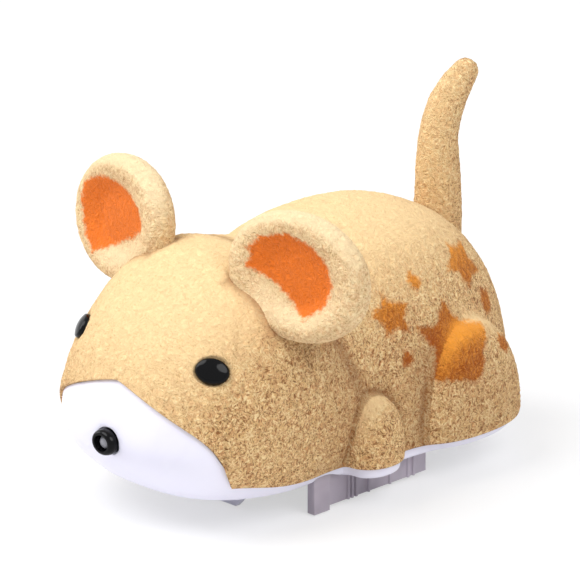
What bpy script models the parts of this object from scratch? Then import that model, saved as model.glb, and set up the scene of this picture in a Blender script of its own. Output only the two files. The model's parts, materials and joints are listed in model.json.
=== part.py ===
"""Electric cat toy: a flocked mouse that runs on two driven wheels and a rear caster.

Metres, +Z up. The mouse faces -Y, its left side is +X, and the origin lies on the
ground under the middle of the toy. Run it in Blender, or with --background --python.
"""
import math

import bmesh
import bpy
import numpy as np
from mathutils import Matrix, Vector

MM = 0.001

# Clearances
TOUCH_GAP = 0.3 * MM
RUNNING_GAP = 0.1 * MM
OVERRUN = 5.0 * MM

# Outer form: body
BODY_Y = 14.0 * MM
BODY_Z = 12.0 * MM
BODY_HALF_WIDTH = 32.0 * MM
BODY_HALF_LENGTH = 46.0 * MM
BODY_RISE = 49.0 * MM
BODY_DROP = 37.0 * MM
BODY_PLAN_POWER = 2.25
BODY_SIDE_POWER = 2.4

# Outer form: head
HEAD_Y = -23.3 * MM
HEAD_Z = 22.1 * MM
HEAD_HALF_WIDTH = 31.2 * MM
HEAD_HALF_LENGTH = 36.2 * MM
HEAD_RISE = 39.0 * MM
HEAD_DROP = 22.7 * MM
HEAD_PLAN_POWER = 2.65
HEAD_SIDE_POWER = 1.71
NECK_BLEND = 4.0 * MM

# Outer form: haunch and front paw, on each side
HAUNCH_PLACE = (28.8 * MM, 27.6 * MM, 12.5 * MM)
HAUNCH_HALF_SIZE = (8.3 * MM, 17.2 * MM, 24.0 * MM)
HAUNCH_DROP = 7.0 * MM
HAUNCH_POWER = 2.15
HAUNCH_BLEND = 2.0 * MM
PAW_PLACE = (30.0 * MM, -3.0 * MM, 13.0 * MM)
PAW_HALF_SIZE = (6.5 * MM, 7.8 * MM, 13.4 * MM)
PAW_POWER = 2.1
PAW_BLEND = 1.2 * MM

# Casing
HEM_Z = 8.0 * MM
BAND_Z = 10.9 * MM
MUZZLE_TOP_Z = 36.3 * MM
MUZZLE_HALF_ANGLE = math.radians(29.85)
MUZZLE_ROUND_POWER = 1.2
MUZZLE_SIDE_POWER = 0.36
CORNER_RISE = 2.5 * MM
CORNER_WIDTH_SHARE = 0.35
FLOCK_DEPTH = 0.8 * MM
WALL = 1.6 * MM
FLOOR = 1.4 * MM
HEM_ROUND = 0.8 * MM
SEAM_GAP = 0.5 * MM
COLUMNS = 64
COLUMN_CROWDING = 0.11
SHELL_ROWS = 20
INNER_ROWS = 6
TRAY_ROW_SHARES = (0.0, 0.18, 0.45, 0.72, 1.0)
TRAY_INNER_ROW_SHARES = (1.0, 0.5, 0.0)
CAST_REACH = 120.0 * MM
CAST_STEPS = 40
SLOPE_STEP = 0.05 * MM
STEEPNESS_FLOOR = 0.4

# Ears
EAR_PLACE = (28.35 * MM, -25.33 * MM, 60.43 * MM)
EAR_RADIUS = 18.6 * MM
EAR_HEIGHT_SHARE = 0.8
EAR_THICKNESS = 7.0 * MM
EAR_DISH_RADIUS = 13.0 * MM
EAR_DISH_DEPTH = 2.0 * MM
EAR_FACING = Vector((0.214, -0.969, 0.12))
EAR_RISING = Vector((0.095, 0.143, 0.985))
EAR_ROOT = Vector((-0.747, -0.239, -0.603))
EAR_PEG_RADIUS = 1.6 * MM
EAR_SEAT_GAP = 0.7 * MM
EAR_PEG_LENGTH = 16.5 * MM

# Tail
TAIL_PLACE_SHARE = 0.76
TAIL_ROOT_RADIUS = 5.8 * MM
TAIL_RADIUS_SHARES = (1.0, 1.0, 0.9, 0.78, 0.74, 0.64, 0.53)
TAIL_WAY_SHARES = (0.0, 0.25, 0.52, 0.70, 0.84, 0.94, 1.0)
TAIL_PLUG_DEPTH = 13.0 * MM
TAIL_STRAIGHT = 31.6 * MM
TAIL_BEND_RADIUS = 19.0 * MM
TAIL_BEND_ANGLE = math.radians(50.0)
TAIL_END_LENGTH = 2.93 * MM
TAIL_BUSH_WALL = 1.5 * MM

# Eyes and nose
EYE_AZIMUTH = math.radians(24.8)
EYE_ELEVATION = math.radians(33.2)
EYE_RADIUS = 4.0 * MM
EYE_HEIGHT_SHARE = 0.82
EYE_DOME = 1.6 * MM
EYE_SINK = 1.4 * MM
EYE_STEM_RADIUS = 1.0 * MM
NOSE_Z = 22.0 * MM
NOSE_RADIUS = 3.5 * MM
NOSE_HEIGHT_SHARE = 0.88
NOSE_LENGTH = 3.3 * MM
NOSE_PROUD = 1.3 * MM
NOSE_STEM_RADIUS = 2.2 * MM
LENS_RADIUS = 1.5 * MM
NOSE_STEM_LENGTH = 4.0 * MM
NOSE_BOARD_SIZE = 7.0 * MM
BOARD_THICKNESS = 1.2 * MM

# Drive: the wheel, its gears and its motor
AXLE_Y = -3.0 * MM
WHEEL_RADIUS = 10.0 * MM
TYRE_THICKNESS = 1.7 * MM
WHEEL_WIDTH = 5.0 * MM
WHEEL_INNER_X = 11.0 * MM
SHAFT_RADIUS = 1.0 * MM
GEAR_MODULE = 0.5 * MM
PRESSURE_ANGLE = math.radians(20.0)
BACKLASH = 0.1 * MM
ADDENDUM_SHARE = 1.0
DEDENDUM_SHARE = 1.25
WHEEL_GEAR_TEETH = 28
IDLER_PINION_TEETH = 12
IDLER_GEAR_TEETH = 30
MOTOR_PINION_TEETH = 10
IDLER_DIRECTION = math.atan2(4.0, 3.0)
MOTOR_DIRECTION = math.atan2(4.0, -3.0)
GEAR_WIDTH = 1.7 * MM
GEAR_SIDE_GAP = 0.4 * MM
PLATE_THICKNESS = 1.4 * MM
PLATE_GAP = 1.0 * MM
COVER_WALL = 1.0 * MM
GEAR_TIP_GAP = 0.6 * MM
MOTOR_RADIUS = 5.5 * MM
MOTOR_INNER_X = 1.8 * MM
END_CAP_LENGTH = 2.2 * MM
MOTOR_SHAFT_RADIUS = 0.75 * MM
MOTOR_BOSS_RADIUS = 2.0 * MM
BUSH_RADIUS = 2.2 * MM

# Drive pod
POD_FRONT_Y = -19.1 * MM
POD_REAR_Y = 18.5 * MM
POD_OUTER_X = 26.0 * MM
SKIRT_THICKNESS = 1.2 * MM
SKIRT_CLEAR_Z = 1.0 * MM
FOOT_LENGTH = 5.0 * MM
FOOT_PROUD = 1.0 * MM
FOOT_CLEAR_Z = 0.4 * MM
RIB_PLACES = (-7.3 * MM, -6.0 * MM, -4.7 * MM, -0.6 * MM, 6.4 * MM, 12.4 * MM, 14.2 * MM)
RIB_WIDTH = 0.7 * MM
RIB_HEIGHT = 0.5 * MM
DECK_THICKNESS = 1.0 * MM
KEEL_FRONT_Y = -8.0 * MM
KEEL_REAR_Y = 17.0 * MM
KEEL_CLEAR_Z = 1.5 * MM
KEEL_WALL = 1.5 * MM
TAB_LENGTH = 5.0 * MM
TAB_HALF_WIDTH = 12.7 * MM

# Front skid
SKID_Y = -27.3 * MM
SKID_HALF_WIDTH = 12.0 * MM
SKID_THICKNESS = 1.6 * MM
SKID_CLEAR_Z = 0.5 * MM
SKID_TAB_WIDTH = 4.0 * MM
SKID_TAB_PLACE = 6.0 * MM

# Rear caster
CASTER_Y = 40.0 * MM
CASTER_TRAIL = 3.0 * MM
CASTER_RADIUS = 3.8 * MM
CASTER_WIDTH = 5.0 * MM
CASTER_PIN_RADIUS = 0.8 * MM
FORK_DISC_RADIUS = 8.2 * MM
FORK_DISC_THICKNESS = 1.4 * MM
FORK_LEG_THICKNESS = 1.2 * MM
FORK_LEG_LENGTH = 4.4 * MM
FORK_STEM_RADIUS = 1.6 * MM
HOUSING_HEIGHT = 5.2 * MM
HOUSING_WALL = 1.3 * MM

# Electrics
BOARD_SIZE = (42.0 * MM, 12.6 * MM)
BOARD_Y = 23.4 * MM
BOARD_Z = 14.0 * MM
CHIP_SIZE = (9.0 * MM, 6.0 * MM, 1.4 * MM)
COIL_RADIUS = 2.4 * MM
COIL_HEIGHT = 3.2 * MM
BATTERY_SIZE = (16.0 * MM, 20.0 * MM, 7.0 * MM)
SOCKET_X = 18.0 * MM
SOCKET_SIZE = (9.0 * MM, 3.3 * MM)
SOCKET_WALL = 0.35 * MM
SOCKET_DEPTH = 4.0 * MM
SWITCH_X = -18.0 * MM
SWITCH_SIZE = (4.0 * MM, 9.0 * MM)
SWITCH_TRAVEL = 2.5 * MM
SLIDER_SIZE = (2.0 * MM, 2.5 * MM)
SLIDER_PROUD = 0.8 * MM

# Screws
SCREW_RADIUS = 0.9 * MM
SCREW_HEAD_RADIUS = 1.9 * MM
SCREW_HEAD_HEIGHT = 0.8 * MM
SCREW_LENGTH = 6.0 * MM
POST_RADIUS = 2.6 * MM
FRONT_POST_PLACE = (9.0 * MM, -36.0 * MM)
REAR_POST_PLACE = (17.0 * MM, 44.0 * MM)
TAB_SCREW_X = 10.0 * MM

# Places that follow from the sizes above
FLOOR_TOP_Z = HEM_Z + FLOOR
AXLE_Z = WHEEL_RADIUS
WHEEL_OUTER_X = WHEEL_INNER_X + WHEEL_WIDTH
PLATE_X = WHEEL_OUTER_X + PLATE_GAP
STAGE_TWO_X = PLATE_X + PLATE_THICKNESS + GEAR_SIDE_GAP
STAGE_ONE_X = STAGE_TWO_X + GEAR_WIDTH + GEAR_SIDE_GAP
COVER_INNER_X = STAGE_ONE_X + GEAR_WIDTH + GEAR_SIDE_GAP
COVER_OUTER_X = COVER_INNER_X + COVER_WALL
SHAFT_END_X = COVER_INNER_X - TOUCH_GAP
SECOND_CENTRES = GEAR_MODULE * (WHEEL_GEAR_TEETH + IDLER_PINION_TEETH) / 2
FIRST_CENTRES = GEAR_MODULE * (IDLER_GEAR_TEETH + MOTOR_PINION_TEETH) / 2
IDLER_Y = AXLE_Y + SECOND_CENTRES * math.cos(IDLER_DIRECTION)
IDLER_Z = AXLE_Z + SECOND_CENTRES * math.sin(IDLER_DIRECTION)
MOTOR_Y = IDLER_Y + FIRST_CENTRES * math.cos(MOTOR_DIRECTION)
MOTOR_Z = IDLER_Z + FIRST_CENTRES * math.sin(MOTOR_DIRECTION)
MOTOR_OUTER_X = PLATE_X - TOUCH_GAP
DECK_BOTTOM_Z = FLOOR_TOP_Z + TOUCH_GAP
DECK_TOP_Z = DECK_BOTTOM_Z + DECK_THICKNESS
SKIRT_INNER_X = POD_OUTER_X - SKIRT_THICKNESS
KEEL_HALF_WIDTH = WHEEL_INNER_X - GEAR_SIDE_GAP - TOUCH_GAP
CASTER_PIN_Z = CASTER_RADIUS
FORK_DISC_Z = FLOOR_TOP_Z + TOUCH_GAP
HOUSING_RADIUS = FORK_DISC_RADIUS + TOUCH_GAP + HOUSING_WALL
HOUSING_TOP_Z = FLOOR_TOP_Z + HOUSING_HEIGHT
TAIL_Y = BODY_Y + BODY_HALF_LENGTH * TAIL_PLACE_SHARE
CENTRE = np.array((0.0, 0.0, HEM_Z))


def clear_scene():
    """Take every object out of the open scene."""
    for item in list(bpy.data.objects):
        bpy.data.objects.remove(item, do_unlink=True)


# Materials

def material(name, colour, roughness, metallic=0.0):
    """A Principled material, made once under its name."""
    found = bpy.data.materials.get(name)
    if found:
        return found
    made = bpy.data.materials.new(name)
    made.use_nodes = True
    made.diffuse_color = (*colour, 1.0)
    shader = made.node_tree.nodes["Principled BSDF"]
    shader.inputs["Base Color"].default_value = (*colour, 1.0)
    shader.inputs["Roughness"].default_value = roughness
    shader.inputs["Metallic"].default_value = metallic
    return made


FLOCK = ("flock", (0.78, 0.58, 0.33), 0.95)
EAR_FLOCK = ("ear_flock", (0.80, 0.52, 0.28), 0.95)
WHITE_PLASTIC = ("white_plastic", (0.86, 0.85, 0.90), 0.35)
GREY_PLASTIC = ("grey_plastic", (0.52, 0.50, 0.54), 0.5)
BLACK_GLOSS = ("black_gloss", (0.01, 0.01, 0.012), 0.12)
LENS_GREY = ("lens_grey", (0.35, 0.36, 0.40), 0.1)
RUBBER = ("rubber", (0.04, 0.04, 0.045), 0.8)
NATURAL_NYLON = ("natural_nylon", (0.80, 0.78, 0.72), 0.45)
STEEL = ("steel", (0.62, 0.62, 0.64), 0.3, 1.0)
BRASS = ("brass", (0.75, 0.55, 0.25), 0.35, 1.0)
BOARD_GREEN = ("board_green", (0.05, 0.25, 0.12), 0.5)
CELL_BLUE = ("cell_blue", (0.12, 0.25, 0.55), 0.4)
BLACK_PLASTIC = ("black_plastic", (0.02, 0.02, 0.022), 0.5)


# Mesh helpers

def finish(name, shape, finish_values, pivot=None, parent=None, smooth=True):
    """Make the named object from a bmesh in world coordinates, set on its pivot."""
    bmesh.ops.recalc_face_normals(shape, faces=shape.faces)
    mesh = bpy.data.meshes.new(name)
    shape.to_mesh(mesh)
    shape.free()
    mesh.materials.append(material(*finish_values))
    item = bpy.data.objects.new(name, mesh)
    bpy.context.collection.objects.link(item)
    if smooth:
        mesh.shade_smooth()
        mesh.set_sharp_from_angle(angle=math.radians(35.0))
    if pivot is not None:
        mesh.transform(Matrix.Translation(-Vector(pivot)))
        if parent is not None:
            item.parent = parent
        else:
            item.location = pivot
    return item


def joint_empty(name, pivot):
    """An empty on a joint's axis, which carries the pieces that move with it."""
    item = bpy.data.objects.new(name, None)
    bpy.context.collection.objects.link(item)
    item.location = pivot
    item.empty_display_size = WHEEL_RADIUS
    return item


def mirrored(shape, side):
    """The same bmesh for side +1, and its mirror image in X for side -1."""
    if side < 0:
        bmesh.ops.scale(shape, vec=(-1.0, 1.0, 1.0), verts=shape.verts)
    return shape


def box(low, high):
    """A box between two corners."""
    shape = bmesh.new()
    bmesh.ops.create_cube(shape, size=1.0)
    size = Vector(high) - Vector(low)
    middle = (Vector(high) + Vector(low)) / 2
    bmesh.ops.scale(shape, vec=size, verts=shape.verts)
    bmesh.ops.translate(shape, vec=middle, verts=shape.verts)
    return shape


def prism(outline, low, high, axis="Z"):
    """A flat outline pushed along an axis. X prisms take (y, z), Z prisms take (x, y)."""
    shape = bmesh.new()
    if axis == "X":
        loop = [shape.verts.new((low, a, b)) for a, b in outline]
        step = Vector((high - low, 0.0, 0.0))
    elif axis == "Y":
        loop = [shape.verts.new((a, low, b)) for a, b in outline]
        step = Vector((0.0, high - low, 0.0))
    else:
        loop = [shape.verts.new((a, b, low)) for a, b in outline]
        step = Vector((0.0, 0.0, high - low))
    face = shape.faces.new(loop)
    pushed = bmesh.ops.extrude_face_region(shape, geom=[face])
    moved = [part for part in pushed["geom"] if isinstance(part, bmesh.types.BMVert)]
    bmesh.ops.translate(shape, vec=step, verts=moved)
    bmesh.ops.recalc_face_normals(shape, faces=shape.faces)
    return shape


def circle(centre, radius, count, turn=0.0):
    """Points round a circle in a plane."""
    angles = [turn + 2 * math.pi * i / count for i in range(count)]
    return [(centre[0] + radius * math.cos(a), centre[1] + radius * math.sin(a)) for a in angles]


def rounded_outline(half_x, half_y, radius, corner_points=3, centre=(0.0, 0.0)):
    """A rectangle with round corners."""
    points = []
    corners = ((1, 1, 0.0), (-1, 1, 0.5), (-1, -1, 1.0), (1, -1, 1.5))
    for sign_x, sign_y, start in corners:
        for i in range(corner_points):
            angle = math.pi * (start + 0.5 * i / (corner_points - 1))
            x = centre[0] + sign_x * (half_x - radius) + radius * math.cos(angle)
            y = centre[1] + sign_y * (half_y - radius) + radius * math.sin(angle)
            points.append((x, y))
    return points


def rod(low, high, radius, place, axis="Z", count=16):
    """A round rod along an axis, at a place in the plane across it."""
    return prism(circle(place, radius, count), low, high, axis)


def lathe(profile, count, matrix=Matrix.Identity(4), closed=False, squash=1.0):
    """Turn a profile of (radius, height) about local Z. Radius zero makes a pole."""
    shape = bmesh.new()
    rings = []
    for radius, height in profile:
        if radius == 0:
            rings.append([shape.verts.new((0.0, 0.0, height))])
        else:
            ring = circle((0.0, 0.0), radius, count)
            rings.append([shape.verts.new((x, y * squash, height)) for x, y in ring])
    pairs = list(zip(rings, rings[1:]))
    if closed:
        pairs.append((rings[-1], rings[0]))
    for below, above in pairs:
        for i in range(count):
            j = (i + 1) % count
            if len(below) == 1:
                shape.faces.new((below[0], above[i], above[j]))
            elif len(above) == 1:
                shape.faces.new((below[i], below[j], above[0]))
            else:
                shape.faces.new((below[i], below[j], above[j], above[i]))
    for ring in (rings[0], rings[-1]):
        if len(ring) > 1 and not closed:
            shape.faces.new(ring)
    bmesh.ops.transform(shape, matrix=matrix, verts=shape.verts)
    bmesh.ops.recalc_face_normals(shape, faces=shape.faces)
    return shape


def facing(place, outward, upward=Vector((0.0, 0.0, 1.0))):
    """A matrix whose local Z points outward and whose local Y leans upward, set at a place."""
    z_axis = Vector(outward).normalized()
    y_axis = (Vector(upward) - z_axis * z_axis.dot(Vector(upward))).normalized()
    x_axis = y_axis.cross(z_axis)
    turn = Matrix((x_axis, y_axis, z_axis)).transposed().to_4x4()
    return Matrix.Translation(Vector(place)) @ turn


ALONG_X = Matrix.Rotation(math.pi / 2, 4, "Y")


def on_axis_x(y, z):
    """Local Z lies along world X, through the given point of the YZ plane."""
    return Matrix.Translation((0.0, y, z)) @ ALONG_X


def combined(first, second, operation):
    """Boolean of two bmeshes, as a new bmesh. Both of them are used up."""
    items = []
    for shape in (first, second):
        bmesh.ops.recalc_face_normals(shape, faces=shape.faces)
        mesh = bpy.data.meshes.new("working")
        shape.to_mesh(mesh)
        shape.free()
        item = bpy.data.objects.new("working", mesh)
        bpy.context.collection.objects.link(item)
        items.append(item)
    cut = items[0].modifiers.new("cut", "BOOLEAN")
    cut.operation = operation
    cut.solver = "EXACT"
    cut.object = items[1]
    graph = bpy.context.evaluated_depsgraph_get()
    result = bmesh.new()
    result.from_object(items[0], graph)
    for item in items:
        mesh = item.data
        bpy.data.objects.remove(item, do_unlink=True)
        bpy.data.meshes.remove(mesh)
    return result


def less(first, *others):
    """Cut every other shape out of the first."""
    for other in others:
        first = combined(first, other, "DIFFERENCE")
    return first


def plus(first, *others):
    """Join every other shape to the first."""
    for other in others:
        first = combined(first, other, "UNION")
    return first


# Outer form

def blend(first, second, width):
    """Smooth union of two forms."""
    mix = np.clip(0.5 + 0.5 * (second - first) / width, 0.0, 1.0)
    return second * (1 - mix) + first * mix - width * mix * (1 - mix)


def oval(points, place, half_size, drop, plan_power, side_power):
    """Below zero inside a rounded box whose lower half is drop high."""
    offset = points - np.array(place)
    height = np.where(offset[..., 2] > 0, half_size[2], drop)
    across = np.abs(offset[..., 0]) / half_size[0]
    along = np.abs(offset[..., 1]) / half_size[1]
    up = np.abs(offset[..., 2]) / height
    plan = (across ** plan_power + along ** plan_power) ** (side_power / plan_power)
    return ((plan + up ** side_power) ** (1 / side_power) - 1) * min(half_size)


def wedge(points, place, half_size, drop, plan_power, side_power):
    """As oval, with its round outline seen from the side and flat cheeks."""
    offset = points - np.array(place)
    height = np.where(offset[..., 2] > 0, half_size[2], drop)
    across = np.abs(offset[..., 0]) / half_size[0]
    along = np.abs(offset[..., 1]) / half_size[1]
    up = np.abs(offset[..., 2]) / height
    profile = (along ** side_power + up ** side_power) ** (plan_power / side_power)
    return ((profile + across ** plan_power) ** (1 / plan_power) - 1) * min(half_size)


def core_form(points):
    """Body and head without the bulges."""
    body_size = (BODY_HALF_WIDTH, BODY_HALF_LENGTH, BODY_RISE)
    head_size = (HEAD_HALF_WIDTH, HEAD_HALF_LENGTH, HEAD_RISE)
    body = oval(points, (0.0, BODY_Y, BODY_Z), body_size, BODY_DROP, BODY_PLAN_POWER, BODY_SIDE_POWER)
    head = wedge(points, (0.0, HEAD_Y, HEAD_Z), head_size, HEAD_DROP, HEAD_PLAN_POWER, HEAD_SIDE_POWER)
    return blend(body, head, NECK_BLEND)


def full_form(points):
    """Body, head, haunches and paws."""
    folded = np.array(points)
    folded[..., 0] = np.abs(folded[..., 0])
    haunch = oval(folded, HAUNCH_PLACE, HAUNCH_HALF_SIZE, HAUNCH_DROP, HAUNCH_POWER, HAUNCH_POWER)
    drop = PAW_HALF_SIZE[2]
    paw = oval(folded, PAW_PLACE, PAW_HALF_SIZE, drop, PAW_POWER, PAW_POWER)
    form = blend(core_form(folded), haunch, HAUNCH_BLEND)
    return blend(form, paw, PAW_BLEND)


def cast(form, origin, direction):
    """Where rays from inside meet a form, by halving."""
    near = np.zeros(direction.shape[:-1])
    far = np.full(direction.shape[:-1], CAST_REACH)
    for _ in range(CAST_STEPS):
        middle = (near + far) / 2
        inside = form(origin + direction * middle[..., None]) < 0
        near = np.where(inside, middle, near)
        far = np.where(inside, far, middle)
    return origin + direction * near[..., None]


def slope(form, points):
    """Outward unit normals of a form."""
    steps = np.eye(3) * SLOPE_STEP
    rise = [form(points + step) - form(points - step) for step in steps]
    normal = np.stack(rise, axis=-1)
    return normal / np.linalg.norm(normal, axis=-1, keepdims=True)


def directions(azimuth, elevation):
    """Unit vectors. Azimuth zero looks forward along -Y and grows towards +X."""
    flat = np.cos(elevation)
    return np.stack((np.sin(azimuth) * flat, -np.cos(azimuth) * flat, np.sin(elevation)), axis=-1)


def column_azimuths():
    """Azimuths of the grid's columns, closer together at the paws."""
    even = np.arange(COLUMNS) * 2 * np.pi / COLUMNS
    return even + COLUMN_CROWDING * np.sin(2 * even)


def seam_height(azimuth):
    """Height of the edge between flock and white tray."""
    turned = np.abs((azimuth + np.pi) % (2 * np.pi) - np.pi) / MUZZLE_HALF_ANGLE
    bulge = np.clip(1 - turned ** MUZZLE_ROUND_POWER, 0.0, 1.0) ** MUZZLE_SIDE_POWER
    low = BAND_Z + CORNER_RISE * np.exp(-((turned - 1) / CORNER_WIDTH_SHARE) ** 2)
    return low + (MUZZLE_TOP_Z - low) * bulge


def level_ring(form, azimuth, height, inset):
    """Points of a form at given heights, cast straight out from the middle axis."""
    origin = np.zeros(azimuth.shape + (3,))
    origin[..., 2] = height
    points = cast(form, origin, directions(azimuth, 0 * azimuth))
    normal = slope(form, points)
    normal[..., 2] = 0.0
    steepness = np.sum(normal ** 2, axis=-1, keepdims=True)
    return points - normal * inset / np.maximum(steepness, STEEPNESS_FLOOR)


def dome_rows(form, azimuth, rows, inset):
    """Rows of points from the seam up to the crown, without the crown itself."""
    seam = level_ring(form, azimuth, seam_height(azimuth), 0.0)
    flat = np.linalg.norm(seam[..., :2], axis=-1)
    low = np.arctan2(seam[..., 2] - HEM_Z, flat)
    made = [level_ring(form, azimuth, seam_height(azimuth), inset)]
    for row in range(1, rows):
        elevation = low + (np.pi / 2 - low) * row / rows
        points = cast(form, CENTRE, directions(azimuth, elevation))
        made.append(points - slope(form, points) * inset)
    return made


def crown(form, inset):
    """The highest point of a form over the middle."""
    up = np.array(((0.0, 0.0, 1.0),))
    points = cast(form, CENTRE, up)
    return (points - slope(form, points) * inset)[0]


def add_ring(shape, points):
    """Vertices for a row of points."""
    return [shape.verts.new(point) for point in points]


def join_rings(shape, low, high):
    """Quads between two rings of equal count."""
    count = len(low)
    for i in range(count):
        j = (i + 1) % count
        shape.faces.new((low[i], low[j], high[j], high[i]))


def close_ring(shape, ring, point):
    """Triangles from a ring to one point."""
    tip = shape.verts.new(point)
    count = len(ring)
    for i in range(count):
        shape.faces.new((ring[i], ring[(i + 1) % count], tip))


def form_solid(form, inset, rows):
    """The whole form above the hem as one closed solid, moved in by inset."""
    azimuth = column_azimuths()
    shape = bmesh.new()
    rings = [add_ring(shape, level_ring(form, azimuth, np.full(azimuth.shape, HEM_Z), inset))]
    rings += [add_ring(shape, row) for row in dome_rows(form, azimuth, rows, inset)]
    for low, high in zip(rings, rings[1:]):
        join_rings(shape, low, high)
    close_ring(shape, rings[-1], crown(form, inset))
    shape.faces.new(rings[0])
    bmesh.ops.recalc_face_normals(shape, faces=shape.faces)
    return shape


# Casing

def surface_point(azimuth, elevation):
    """A point of the outer form and the outward direction there."""
    ray = directions(np.array([azimuth]), np.array([elevation]))
    points = cast(full_form, CENTRE, ray)
    return Vector(points[0]), Vector(slope(full_form, points)[0])


def shell_skin():
    """The flocked half shell before its holes are cut."""
    azimuth = column_azimuths()
    shape = bmesh.new()
    outer = [add_ring(shape, row) for row in dome_rows(full_form, azimuth, SHELL_ROWS, 0.0)]
    inset = FLOCK_DEPTH + WALL
    inner = [add_ring(shape, row) for row in dome_rows(full_form, azimuth, INNER_ROWS, inset)]
    for rings in (outer, inner):
        for low, high in zip(rings, rings[1:]):
            join_rings(shape, low, high)
    close_ring(shape, outer[-1], crown(full_form, 0.0))
    close_ring(shape, inner[-1], crown(full_form, inset))
    join_rings(shape, inner[0], outer[0])
    bmesh.ops.recalc_face_normals(shape, faces=shape.faces)
    return shape


def inner_space(gap):
    """The space inside the shell's wall, less a gap."""
    return form_solid(full_form, FLOCK_DEPTH + WALL + gap, INNER_ROWS)


def post(place):
    """A screw post that hangs from the shell's roof to the tray floor."""
    low = FLOOR_TOP_Z + TOUCH_GAP
    stock = rod(low, low + CAST_REACH, POST_RADIUS, place, count=12)
    half_wall = (FLOCK_DEPTH + WALL) / 2
    return combined(stock, form_solid(full_form, half_wall, SHELL_ROWS), "INTERSECT")


def post_places():
    """The four screw posts."""
    places = (FRONT_POST_PLACE, REAR_POST_PLACE)
    return [(side * x, y) for x, y in places for side in (1, -1)]


def ear_matrix(side):
    """Local Z of an ear faces forward, local Y rises from its root."""
    frame = facing(EAR_PLACE, EAR_FACING, EAR_RISING)
    if side < 0:
        flip = Matrix.Diagonal((-1.0, 1.0, 1.0, 1.0))
        frame = flip @ frame @ flip
    return frame


def ear_peg(side, radius, extra):
    """The peg under an ear, and with extra its hole."""
    down = facing(EAR_PLACE, EAR_ROOT, Vector((0.0, 1.0, 0.0)))
    return mirrored(lathe(((radius, 0.0), (radius, EAR_PEG_LENGTH + extra)), 12, down), side)


def eye_matrix(side):
    """Local Z of an eye points straight out of the face."""
    place, outward = surface_point(side * EYE_AZIMUTH, EYE_ELEVATION)
    return facing(place, outward)


def upper_shell():
    """Flocked shell with seats for the eyes, ears and tail, and its screw posts."""
    shape = shell_skin()
    for side in (1, -1):
        frame = eye_matrix(side)
        radius = EYE_RADIUS + TOUCH_GAP
        low = -EYE_SINK - TOUCH_GAP
        pocket = lathe(((radius, low), (radius, OVERRUN)), 24, frame, squash=EYE_HEIGHT_SHARE)
        radius = EYE_STEM_RADIUS + TOUCH_GAP
        hole = lathe(((radius, -OVERRUN), (radius, OVERRUN)), 12, frame)
        shape = less(shape, pocket, hole)
        shape = less(shape, ear_peg(side, EAR_PEG_RADIUS + TOUCH_GAP, OVERRUN))
    top = BODY_Z + BODY_RISE
    shape = less(shape, rod(HEM_Z, top, TAIL_ROOT_RADIUS + TOUCH_GAP, (0.0, TAIL_Y), count=28))
    for place in post_places():
        shape = plus(shape, post(place))
    holes = [rod(HEM_Z, HEM_Z + SCREW_LENGTH + OVERRUN, SCREW_RADIUS + TOUCH_GAP, place, count=10)
             for place in post_places()]
    shape = less(shape, *holes)
    finish("upper_shell", shape, FLOCK)


def tray_skin():
    """The white tray and muzzle before its holes are cut."""
    azimuth = column_azimuths()
    seam = seam_height(azimuth) - SEAM_GAP
    shape = bmesh.new()
    hem = np.full(azimuth.shape, HEM_Z)
    rings = [add_ring(shape, level_ring(full_form, azimuth, hem, FLOCK_DEPTH + HEM_ROUND))]
    for share in TRAY_ROW_SHARES:
        height = hem + HEM_ROUND + (seam - hem - HEM_ROUND) * share
        rings.append(add_ring(shape, level_ring(full_form, azimuth, height, FLOCK_DEPTH)))
    for share in TRAY_INNER_ROW_SHARES:
        height = FLOOR_TOP_Z + (seam - FLOOR_TOP_Z) * share
        rings.append(add_ring(shape, level_ring(full_form, azimuth, height, FLOCK_DEPTH + WALL)))
    for low, high in zip(rings, rings[1:]):
        join_rings(shape, low, high)
    shape.faces.new(rings[0])
    shape.faces.new(rings[-1])
    bmesh.ops.recalc_face_normals(shape, faces=shape.faces)
    return shape


def pod_half_width():
    """Half width of the pod's widest part, at its feet."""
    return POD_OUTER_X + FOOT_PROUD


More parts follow.
